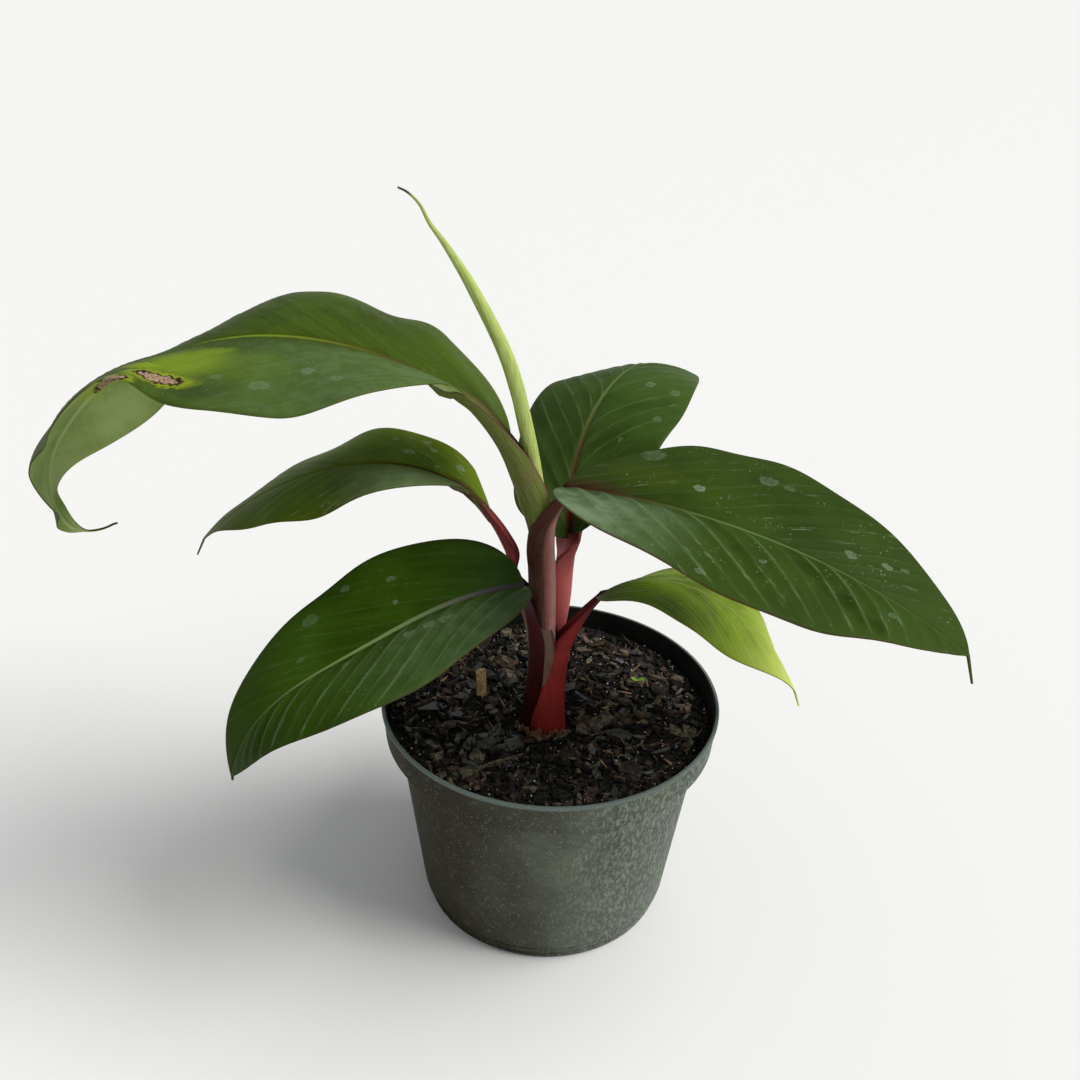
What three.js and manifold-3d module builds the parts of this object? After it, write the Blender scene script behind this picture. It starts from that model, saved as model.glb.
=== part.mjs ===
// A young banana plant with six open leaves and one furled leaf, growing in a round nursery pot.
// Millimetres, +Z up. The origin is the centre of the pot's flat underside, and -Y is the front.

import * as THREE from 'three';
import { mergeVertices } from 'three/addons/utils/BufferGeometryUtils.js';
import Module from 'manifold-3d';

const wasm = await Module();
wasm.setup();

// Clearance between pieces that touch on the real plant
const GAP = 0.3;

// Pot, a thin moulded shell with a wider band at its rim
const POT_HEIGHT = 116;
const RIM_RADIUS = 82.5;
const RIM_FOOT_RADIUS = 80.7;
const RIM_BAND_HEIGHT = 16.5;
const WALL_TOP_RADIUS = 74.3;
const WALL_FOOT_RADIUS = 62.5;
const FOOT_RADIUS = 60.6;
const FOOT_HEIGHT = 5;
const POT_WALL = 1.5;
const POT_FLOOR = 2.5;
const POT_FACETS = 48;
const FOOT_STEP_HEIGHT = 2;
const LIP_BAND_HEIGHT = 2.5;
const LIP_BAND_STAND = 0.7;
const EDGE_ROUND = 0.5;

// Potting mix, heaped a little unevenly and strewn with bark chips
const MIX_LEVEL = 104;
const MIX_SWELL = 1.6;
const MIX_RINGS = 8;
const MIX_WAVE = 0.11;
const BARK_CHIPS = 26;
const BARK_RING = [29, 63];
const BARK_LENGTH = [8, 17];
const BARK_WIDTH_SHARE = [0.35, 0.65];
const BARK_THICKNESS = 3.4;
const BARK_TILT = 0.35;
const GOLDEN_RATIO = 0.618034;

// Stem, where the leaf sheaths wrap one another round one centre
const STEM_CENTRE = [-2.5, -8];
const STEM_CLEARING = 17;
const SHEATH_ROOT_DEPTH = 5;
const SHEATH_STEPS = 6;
const LIMB_SIDES = 8;
const LIMB_STEP = 7;

// Blades: the number of strips each side of the midrib, and the length of a strip's facets
const STRIPS = 5;
const BLADE_STEP = 11;
const RIB_HALF_THICKNESS = 1.7;
const MARGIN_HALF_THICKNESS = 1.05;
const NARROWEST_HALF_WIDTH = 1.2;
const LOBE_REACH = 0.12;
const STALK_STEPS = 12;
const RIB_STEPS = 120;
const NORMAL_STEP = 0.01;
const DRIP_RADII = [1.1, 1, 0.6];
const DRIP_ROOT_STEPS = 3;

// Each leaf, from the point where its stalk leaves the stem. Angles are in degrees. Rise is the slope
// above level, heading is the compass direction seen from above with 0 along +X, and twist turns the
// blade about its midrib. Fold is how far a half of the blade stands above its midrib, and curl is how
// far it turns on its way to the margin. A list runs evenly from the base to the tip. A half with a
// start below 0 begins as a wing down the stalk, at that share of the blade's length. The powers shape
// the outline: a small one at the base makes it blunt, and a half may have its own. A half with an
// opening widens slowly over that share of its length.
const LEAVES = {
  long_left: {
    sheath: { base: [-3, -7], radii: [9.5, 8, 6, 6.3, 6.6] },
    foot: [-10, -9, 226],
    stalk: { length: 68, rise: [75, 41], heading: [194, 184], radii: [5.3, 4.4, 3.2] },
    length: 268,
    halfWidth: 60,
    basePower: 0.45,
    tipPower: 1.06,
    rise: [36, 19, 5, -14, -22, -44, -61, -105, -195],
    heading: [193, 181, 180, 171, 182, 167, 179, 214, 220],
    twist: [12, 9, 0, 2, 23, 39, 54, 39, 20],
    left: {
      start: -0.045,
      opening: 0.12,
      fold: [14, 3, 2, -3, -31, -27, -36],
      curl: [-3, -20, -18, -14, -45, -32, -9],
      lobe: 2,
    },
    right: {
      start: -0.13,
      basePower: 0.36,
      fold: [28, 18, 12, 9, 18, 30, 23],
      curl: [-22, -32, -27, -15, -35, -35, 0],
      lobe: 4,
    },
    bend: 0.6,
    color: 0x3f5c1c,
  },
  small_left: {
    sheath: { base: [-7, -4], radii: [7, 6.5, 5.5, 5] },
    foot: [-8, -2, 159],
    stalk: { length: 77, rise: [81, 45], heading: [165, 171], radii: [4.2, 2.1] },
    length: 152,
    halfWidth: 32,
    basePower: 0.58,
    tipPower: 0.88,
    rise: [30, -13, -33, -48],
    heading: [172, 168, 166, 167],
    twist: [12, -3, -1, -1],
    left: { start: 0, fold: [16, -5, 2], curl: [3, -22, -9], lobe: 3 },
    right: { start: -0.12, basePower: 0.8, fold: [18, 8, 7], curl: [-1, -21, -9], lobe: 0 },
    drip: { length: 10, rise: -65, heading: 185 },
    color: 0x34511a,
  },
  low_left: {
    sheath: { base: [-8, -11], radii: [7, 6.5, 5.5] },
    foot: [-6.5, -14, 121],
    stalk: { length: 71, rise: [96, 68], heading: [200, 206], radii: [6.2, 2.5] },
    length: 163,
    halfWidth: 42,
    basePower: 0.47,
    tipPower: 0.84,
    rise: [3, -16, -28, -78],
    heading: [202, 209, 203, 209],
    twist: [-3, -3, -5, -5],
    left: { start: 0, fold: [15, 10, 4], curl: [2, -15, -8], lobe: 2 },
    right: { start: 0, fold: [18, 14, 9], curl: [4, -13, -5], lobe: 2 },
    drip: { length: 4, rise: -80, heading: 209 },
    color: 0x2f4c1c,
  },
  broad_right: {
    sheath: { base: [-2, -11], radii: [7, 6, 5, 5] },
    foot: [-4, -14.5, 196],
    stalk: { length: 47, rise: [94, 64], heading: [329, 335], radii: [4.8, 2.8] },
    length: 182,
    halfWidth: 52,
    basePower: 0.57,
    tipPower: 0.83,
    rise: [12, -6, -19, -22],
    heading: [325, 340, 342, 321],
    twist: [-3, -5, 2, 2],
    left: { start: 0, fold: [14, 16, 6], curl: [-3, -10, -7], lobe: 4 },
    right: { start: 0, fold: [12, 3, 8], curl: [1, -13, -6], lobe: 1.5 },
    drip: { length: 13, rise: -72, heading: 335 },
    color: 0x34511e,
  },
  upright: {
    sheath: { base: [2, -4], radii: [7, 6, 5] },
    foot: [3, 2, 136],
    stalk: { length: 69, rise: [79, 93], heading: [58, 59], radii: [4.6, 3.8] },
    length: 180,
    halfWidth: 40,
    basePower: 0.51,
    tipPower: 0.87,
    rise: [63, 44, 19, -10, -29, -53],
    heading: [97, 73, 63, 64, 64, 63],
    twist: [-7, -11, -3, -5, -6, -2],
    left: { start: 0, fold: [-7, -10, -10], curl: [-8, -12, -12], lobe: 1 },
    right: { start: 0, fold: [3, 3, 6], curl: [0, -25, -30], lobe: 1 },
    color: 0x2c4a1e,
  },
  small_right: {
    sheath: { base: [3, -11], radii: [7.5, 6.5, 5.4] },
    foot: [5.5, -8, 150],
    stalk: { length: 34, rise: [73, 51], heading: [6, 8], radii: [4.8, 1.8] },
    length: 121,
    halfWidth: 31,
    basePower: 0.45,
    tipPower: 0.85,
    rise: [29, -15, -43, -66],
    heading: [17, -5, -14, 1],
    twist: [-1, 0, 3, -6],
    left: { start: 0, fold: [-41, -8, -10], curl: [-2, -6, -16], lobe: 0 },
    right: { start: 0, fold: [16, 1, 5], curl: [2, -19, -8], lobe: 3 },
    drip: { length: 6, rise: -70, heading: 0 },
    color: 0x50661c,
  },
};

// Furled leaf, a rolled spear that rises from the topmost sheath and ends in a thread
const SPEAR_PATH = [
  [-10, -8, 236],
  [-15.5, -8, 264],
  [-23.5, -8, 294],
  [-38, -8, 324],
  [-49, -8, 342],
  [-57, -8, 355],
  [-68, -8, 365],
];
const SPEAR_RADII = [3.4, 3.5, 3.2, 2.4, 1.4, 0.7, 0.5];

// Colours of the pieces other than the blades
const POT_COLOR = 0x3c4540;
const MIX_COLOR = 0x2a2624;
const STEM_COLOR = 0x5e2024;
const STALK_COLOR = 0x7c2a2e;
const SPEAR_COLOR = 0xa3b860;

const radians = THREE.MathUtils.degToRad;

// A smooth run through evenly spaced values, which keeps the end slopes straight
function smooth(values, t) {
  const last = values.length - 1;
  const place = Math.min(Math.max(t, 0), 1) * last;
  const i = Math.min(Math.floor(place), last - 1);
  const f = place - i;
  const slope = (k) => {
    if (k === 0) return values[1] - values[0];
    if (k === last) return values[last] - values[last - 1];
    return (values[k + 1] - values[k - 1]) / 2;
  };
  const startShare = 2 * f ** 3 - 3 * f ** 2 + 1;
  const endShare = 3 * f ** 2 - 2 * f ** 3;
  const startSlopeShare = f ** 3 - 2 * f ** 2 + f;
  const endSlopeShare = f ** 3 - f ** 2;
  return values[i] * startShare + values[i + 1] * endShare
    + slope(i) * startSlopeShare + slope(i + 1) * endSlopeShare;
}

function direction(rise, heading) {
  const level = Math.cos(radians(rise));
  return new THREE.Vector3(
    level * Math.cos(radians(heading)),
    level * Math.sin(radians(heading)),
    Math.sin(radians(rise)),
  );
}

// The points of a line of a given length whose rise and heading change smoothly along it
function walk(start, length, rise, heading, steps) {
  const points = [start.clone()];
  for (let i = 1; i <= steps; i++) {
    const before = direction(smooth(rise, (i - 1) / steps), smooth(heading, (i - 1) / steps));
    const after = direction(smooth(rise, i / steps), smooth(heading, i / steps));
    const step = before.add(after).multiplyScalar(length / steps / 2);
    points.push(points[i - 1].clone().add(step));
  }
  return points;
}

// A geometry's loose faces are joined at shared corners, so that it becomes one closed solid
function solidOf(geometry) {
  const bare = geometry.clone();
  bare.deleteAttribute('normal');
  bare.deleteAttribute('uv');
  const merged = mergeVertices(bare);
  return new wasm.Manifold(new wasm.Mesh({
    numProp: 3,
    vertProperties: new Float32Array(merged.attributes.position.array),
    triVerts: new Uint32Array(merged.index.array),
  }));
}

function geometryOf(solid) {
  const mesh = solid.getMesh();
  const geometry = new THREE.BufferGeometry();
  geometry.setAttribute('position', new THREE.BufferAttribute(new Float32Array(mesh.vertProperties), 3));
  geometry.setIndex(new THREE.BufferAttribute(new Uint32Array(mesh.triVerts), 1));
  return geometry;
}

// Cutting can leave a loose scrap, and only the largest body is the piece
function largestBody(solid) {
  const bodies = solid.decompose();
  return bodies.reduce((best, body) => (body.volume() > best.volume() ? body : best));
}

// A limb starts as an upright cylinder, and each ring of it is moved to its place along the curve
function limb(points, radii, extra = 0) {
  const curve = new THREE.CatmullRomCurve3(points, false, 'centripetal');
  const rings = Math.max(3, Math.round(curve.getLength() / LIMB_STEP));
  const frames = curve.computeFrenetFrames(rings, false);
  const geometry = new THREE.CylinderGeometry(1, 1, 1, LIMB_SIDES, rings);
  const position = geometry.attributes.position;
  const place = new THREE.Vector3();
  for (let k = 0; k < position.count; k++) {
    place.fromBufferAttribute(position, k);
    const ring = Math.round((place.y + 0.5) * rings);
    const t = ring / rings;
    const radius = smooth(radii, t) + extra;
    const centre = curve.getPointAt(t);
    centre.addScaledVector(frames.normals[ring], place.x * radius);
    centre.addScaledVector(frames.binormals[ring], -place.z * radius);
    if (ring === 0) centre.addScaledVector(frames.tangents[0], -extra);
    if (ring === rings) centre.addScaledVector(frames.tangents[rings], extra);
    position.setXYZ(k, centre.x, centre.y, centre.z);
  }
  return solidOf(geometry);
}

// A sheath rises from the mix and runs into the foot of its leaf's stalk
function sheathPoints(leaf) {
  const start = new THREE.Vector3(leaf.sheath.base[0], leaf.sheath.base[1], MIX_LEVEL - SHEATH_ROOT_DEPTH);
  const end = new THREE.Vector3(...leaf.foot);
  const reach = (end.z - start.z) / 3;
  const arrival = direction(leaf.stalk.rise[0], leaf.stalk.heading[0]);
  const curve = new THREE.CubicBezierCurve3(
    start,
    start.clone().add(new THREE.Vector3(0, 0, reach)),
    end.clone().addScaledVector(arrival, -reach),
    end,
  );
  return curve.getPoints(SHEATH_STEPS);
}

function stalkPoints(leaf) {
  const { length, rise, heading } = leaf.stalk;
  return walk(new THREE.Vector3(...leaf.foot), length, rise, heading, STALK_STEPS);
}

function ribPoints(leaf) {
  return walk(stalkPoints(leaf).at(-1), leaf.length, leaf.rise, leaf.heading, RIB_STEPS);
}

function sheath(leaf, extra = 0) {
  return limb(sheathPoints(leaf), leaf.sheath.radii, extra);
}

function stalk(leaf, extra = 0) {
  return limb(stalkPoints(leaf), leaf.stalk.radii, extra);
}

function spear(extra = 0) {
  return limb(SPEAR_PATH.map((point) => new THREE.Vector3(...point)), SPEAR_RADII, extra);
}

function halfWidthAt(leaf, half, t) {
  const basePower = half.basePower ?? leaf.basePower;
  const widest = basePower / (basePower + leaf.tipPower);
  const share = THREE.MathUtils.clamp((t - half.start) / (1 - half.start), 0, 1);
  const swell = (share / widest) ** basePower * ((1 - share) / (1 - widest)) ** leaf.tipPower;
  const opened = half.opening ? 1 - Math.exp(-((share / half.opening) ** 2)) : 1;
  return Math.max(leaf.halfWidth * swell * opened, NARROWEST_HALF_WIDTH);
}

// The midrib at t. Below 0 it is the end of the stalk, and there the blade turns smoothly from the
// stalk's own direction to that of the midrib.
function ribAt(leaf, t) {
  const clamped = Math.min(t, 1);
  const stalkShare = 1 + (clamped * leaf.length) / leaf.stalk.length;
  const onStalk = clamped < 0;
  const curve = onStalk ? stalkPoints(leaf) : ribPoints(leaf);
  const steps = curve.length - 1;
  const step = (onStalk ? stalkShare : clamped) * steps;
  const whole = Math.min(Math.floor(step), steps - 1);
  const point = curve[whole].clone().lerp(curve[whole + 1], step - whole);
  const joined = THREE.MathUtils.smoothstep(clamped, bladeStart(leaf), 0);
  const turned = (onTheStalk, onTheRib) =>
    THREE.MathUtils.lerp(smooth(onTheStalk, stalkShare), smooth(onTheRib, clamped), onStalk ? joined : 1);
  const rise = turned(leaf.stalk.rise, leaf.rise);
  const heading = turned(leaf.stalk.heading, leaf.heading);
  return { point, rise, heading };
}

// The points across one half of a blade at t, from the midrib to the margin. Each strip of the half
// leans a little more than the last, and the lobe at the base sweeps back along the stalk.
function halfAcross(leaf, half, sign, t) {
  const rib = ribAt(leaf, t);
  const along = direction(rib.rise, rib.heading);
  const level = direction(0, rib.heading + 90);
  const above = along.clone().cross(level);
  const twist = radians(smooth(leaf.twist, t));
  const side = level.clone().multiplyScalar(Math.cos(twist)).addScaledVector(above, Math.sin(twist));
  const up = above.clone().multiplyScalar(Math.cos(twist)).addScaledVector(level, -Math.sin(twist));
  const width = halfWidthAt(leaf, half, t);
  const sweep = half.lobe * Math.exp(-(((t - half.start) / LOBE_REACH) ** 2));
  const edge = rib.point.clone();
  const points = [rib.point];
  for (let strip = 0; strip < STRIPS; strip++) {
    const lean = radians(smooth(half.fold, t) + smooth(half.curl, t) * ((strip + 0.5) / STRIPS));
    edge.addScaledVector(side, sign * Math.cos(lean) * (width / STRIPS));
    edge.addScaledVector(up, Math.sin(lean) * (width / STRIPS));
    points.push(edge.clone().addScaledVector(along, -sweep * ((strip + 1) / STRIPS)));
  }
  return points;
}

function bladeStart(leaf) {
  return Math.min(leaf.left.start, leaf.right.start);
}

// The middle surface of a blade at t, as points from the right margin to the left one
function bladeRow(leaf, t) {
  const right = halfAcross(leaf, leaf.right, -1, t);
  const left = halfAcross(leaf, leaf.left, 1, t);
  return [...right.reverse(), ...left.slice(1)];
}

// A blade starts as a flat box, divided into strips and stations, and each corner is moved to the
// upper or under face of the blade. The face stands off the middle surface by half the thickness.
function blade(leaf, from, to) {
  const stations = Math.round((leaf.length * (to - from)) / BLADE_STEP);
  const columns = 2 * STRIPS;
  const geometry = new THREE.BoxGeometry(columns, 2, stations, columns, 1, stations);
  const position = geometry.attributes.position;
  const corner = new THREE.Vector3();
  for (let k = 0; k < position.count; k++) {
    corner.fromBufferAttribute(position, k);
    const j = Math.round(corner.x + columns / 2);
    const t = from + (to - from) * (corner.z / stations + 0.5);
    const here = bladeRow(leaf, t);
    const before = bladeRow(leaf, Math.max(t - NORMAL_STEP, bladeStart(leaf)));
    const along = bladeRow(leaf, t + NORMAL_STEP)[j].clone().sub(before[j]);
    const across = here[Math.min(j + 1, columns)].clone().sub(here[Math.max(j - 1, 0)]);
    const normal = along.cross(across).normalize();
    const outward = Math.min(1, (2 * Math.abs(j - STRIPS)) / STRIPS);
    const half = THREE.MathUtils.lerp(RIB_HALF_THICKNESS, MARGIN_HALF_THICKNESS, outward);
    const point = here[j].clone().addScaledVector(normal, Math.sign(corner.y) * half);
    position.setXYZ(k, point.x, point.y, point.z);
  }
  return solidOf(geometry);
}

// The withered thread that hangs from a blade's tip
function dripTip(leaf) {
  const tip = ribPoints(leaf).at(-1);
  const root = ribPoints(leaf).at(-DRIP_ROOT_STEPS);
  const end = tip.clone().addScaledVector(direction(leaf.drip.rise, leaf.drip.heading), leaf.drip.length);
  return limb([root, tip, tip.clone().lerp(end, 0.5), end], DRIP_RADII);
}

function potOutline() {
  const top = POT_HEIGHT;
  const shoulder = POT_HEIGHT - RIM_BAND_HEIGHT;
  const lip = POT_HEIGHT - LIP_BAND_HEIGHT;
  return [
    [0, 0],
    [FOOT_RADIUS - 2 * EDGE_ROUND, 0],
    [FOOT_RADIUS, 2 * EDGE_ROUND],
    [FOOT_RADIUS, FOOT_HEIGHT],
    [WALL_FOOT_RADIUS, FOOT_HEIGHT + FOOT_STEP_HEIGHT],
    [WALL_TOP_RADIUS, shoulder],
    [RIM_FOOT_RADIUS, shoulder],
    [RIM_RADIUS - LIP_BAND_STAND, lip],
    [RIM_RADIUS, lip + LIP_BAND_STAND],
    [RIM_RADIUS, top - EDGE_ROUND],
    [RIM_RADIUS - EDGE_ROUND, top],
    [RIM_RADIUS - EDGE_ROUND - POT_WALL, top],
    [RIM_FOOT_RADIUS - POT_WALL, shoulder + POT_WALL],
    [WALL_TOP_RADIUS - POT_WALL, shoulder + POT_WALL],
    [WALL_FOOT_RADIUS - POT_WALL, POT_FLOOR + FOOT_HEIGHT],
    [FOOT_RADIUS - POT_WALL, POT_FLOOR],
    [0, POT_FLOOR],
  ];
}

function pot() {
  const outline = potOutline().map(([radius, height]) => new THREE.Vector2(radius, height));
  const geometry = new THREE.LatheGeometry(outline, POT_FACETS);
  geometry.rotateX(Math.PI / 2);
  return solidOf(geometry);
}

// The mix lies low against the stem and swells a little towards the wall
function mixHeight(x, y) {
  const fromStem = Math.hypot(x - STEM_CENTRE[0], y - STEM_CENTRE[1]);
  const open = THREE.MathUtils.smoothstep(fromStem, STEM_CLEARING, 2 * STEM_CLEARING);
  const broad = Math.sin(x * MIX_WAVE + 1) * Math.cos(y * MIX_WAVE);
  const fine = Math.sin((x + y) * 2 * MIX_WAVE);
  return MIX_LEVEL + open * MIX_SWELL * (0.4 + 0.5 * broad + 0.3 * fine);
}

function mixBody() {
  const clear = POT_WALL + GAP;
  const shoulder = POT_HEIGHT - RIM_BAND_HEIGHT + clear;
  const rim = RIM_FOOT_RADIUS - clear;
  const outline = [
    [0, POT_FLOOR + GAP],
    [FOOT_RADIUS - clear - GAP, POT_FLOOR + GAP],
    [WALL_FOOT_RADIUS - clear, POT_FLOOR + FOOT_HEIGHT],
    [WALL_TOP_RADIUS - clear, shoulder],
    [rim, shoulder],
  ];
  for (let ring = MIX_RINGS; ring >= 0; ring--) outline.push([(rim * ring) / MIX_RINGS, MIX_LEVEL]);
  const profile = outline.map(([radius, height]) => new THREE.Vector2(radius, height));
  const geometry = new THREE.LatheGeometry(profile, POT_FACETS);
  geometry.rotateX(Math.PI / 2);
  const position = geometry.attributes.position;
  for (let k = 0; k < position.count; k++) {
    if (position.getZ(k) > MIX_LEVEL - 0.01) {
      position.setZ(k, mixHeight(position.getX(k), position.getY(k)));
    }
  }
  return solidOf(geometry);
}

// Steps of the golden ratio strew the chips evenly, with no two alike
function barkChip(k) {
  const share = (k * GOLDEN_RATIO) % 1;
  const turn = k * 2 * Math.PI * GOLDEN_RATIO;
  const along = (k + 0.5) / BARK_CHIPS;
  const radius = Math.sqrt(THREE.MathUtils.lerp(BARK_RING[0] ** 2, BARK_RING[1] ** 2, along));
  const length = THREE.MathUtils.lerp(...BARK_LENGTH, share);
  const width = length * THREE.MathUtils.lerp(...BARK_WIDTH_SHARE, share);
  const geometry = new THREE.BoxGeometry(length, width, BARK_THICKNESS);
  geometry.rotateX(BARK_TILT * Math.sin(2 * k));
  geometry.rotateY(BARK_TILT * Math.cos(3 * k));
  geometry.rotateZ(3 * turn);
  const x = radius * Math.cos(turn);
  const y = radius * Math.sin(turn);
  geometry.translate(x, y, mixHeight(x, y));
  return solidOf(geometry);
}

function pottingMix() {
  let mix = mixBody();
  for (let k = 0; k < BARK_CHIPS; k++) mix = mix.add(barkChip(k));
  return mix;
}

// The stem is the sheaths joined, cut off flat where it meets the mix
function pseudostem(extra = 0) {
  const leaves = Object.values(LEAVES);
  const bundle = leaves.map((leaf) => sheath(leaf, extra)).reduce((all, one) => all.add(one));
  const below = new THREE.BoxGeometry(POT_HEIGHT, POT_HEIGHT, MIX_LEVEL);
  below.translate(0, 0, MIX_LEVEL / 2 + GAP);
  return bundle.subtract(solidOf(below));
}

const group = new THREE.Group();

function place(name, solid, color, roughness) {
  const material = new THREE.MeshStandardMaterial({ color, roughness, metalness: 0 });
  const mesh = new THREE.Mesh(geometryOf(solid), material);
  mesh.name = name;
  group.add(mesh);
}

place('pot', pot(), POT_COLOR, 0.6);
place('potting_mix', pottingMix(), MIX_COLOR, 0.95);
place('pseudostem', pseudostem(), STEM_COLOR, 0.45);

// Each piece is cut clear of those placed before it
let taken = pseudostem(GAP);
for (const [name, leaf] of Object.entries(LEAVES)) {
  place(`stalk_${name}`, largestBody(stalk(leaf).subtract(taken)), STALK_COLOR, 0.45);
  taken = taken.add(stalk(leaf, GAP));
}
place('furled_leaf', largestBody(spear().subtract(taken)), SPEAR_COLOR, 0.45);
taken = taken.add(spear(GAP));
for (const [name, leaf] of Object.entries(LEAVES)) {
  const bend = leaf.bend ?? 1;
  let body = blade(leaf, bladeStart(leaf), bend);
  if (leaf.drip) body = body.add(dripTip(leaf));
  place(`leaf_${name}`, largestBody(body.subtract(taken)), leaf.color, 0.4);
  if (bend < 1) {
    const tip = blade(leaf, bend + (1.3 * GAP) / leaf.length, 1);
    place(`leaf_${name}_tip`, largestBody(tip.subtract(taken)), leaf.color, 0.4);
  }
}

export default group;
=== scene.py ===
import math
import random

import bpy
import numpy as np
from mathutils import Matrix, Vector, noise


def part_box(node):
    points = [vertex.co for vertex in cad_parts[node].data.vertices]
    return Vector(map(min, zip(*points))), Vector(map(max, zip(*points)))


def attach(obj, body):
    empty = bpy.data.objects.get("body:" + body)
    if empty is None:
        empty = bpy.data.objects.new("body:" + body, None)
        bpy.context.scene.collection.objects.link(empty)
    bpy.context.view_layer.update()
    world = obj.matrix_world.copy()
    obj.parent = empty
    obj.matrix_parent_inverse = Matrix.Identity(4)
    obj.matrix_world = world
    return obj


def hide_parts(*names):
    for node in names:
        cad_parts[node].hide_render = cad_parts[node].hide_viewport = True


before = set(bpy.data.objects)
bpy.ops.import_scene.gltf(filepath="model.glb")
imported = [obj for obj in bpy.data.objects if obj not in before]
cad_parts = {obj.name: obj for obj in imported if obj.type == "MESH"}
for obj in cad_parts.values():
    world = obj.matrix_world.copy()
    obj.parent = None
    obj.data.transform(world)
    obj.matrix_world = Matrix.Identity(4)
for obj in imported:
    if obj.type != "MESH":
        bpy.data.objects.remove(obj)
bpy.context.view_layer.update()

# Nursery pot. A thin round pot of dark grey-green recycled plastic, moulded in one piece, with a
# broad band below its lip and a stepped foot. It stands on its flat underside and carries the mix.
pot_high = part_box("pot")[1]
POT_SIDES = 128
POT_WALL = 0.0015
POT_FLOOR = 0.0025
BAND_HEIGHT = 0.0165
BAND_FOOT_RADIUS = 0.0807
WALL_TOP_RADIUS = 0.0743
WALL_FOOT_RADIUS = 0.0625
FOOT_RADIUS = 0.0606
FOOT_HEIGHT = 0.005
FOOT_GROOVE = 0.0005
LIP_HEIGHT = 0.0026
LIP_STAND = 0.0008
EDGE_ROUND = 0.0005
POT_CREASE = 35
# Heights of the groove in the foot and of the steps above it, as shares of the foot's height
GROOVE_LOW = 0.4
GROOVE_MIDDLE = 0.5
GROOVE_HIGH = 0.6
STEP_LOW = 1.4
STEP_MIDDLE = 1.55
STEP_HIGH = 1.8
rim_radius = pot_high.x
pot_height = pot_high.z
shoulder = pot_height - BAND_HEIGHT


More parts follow.
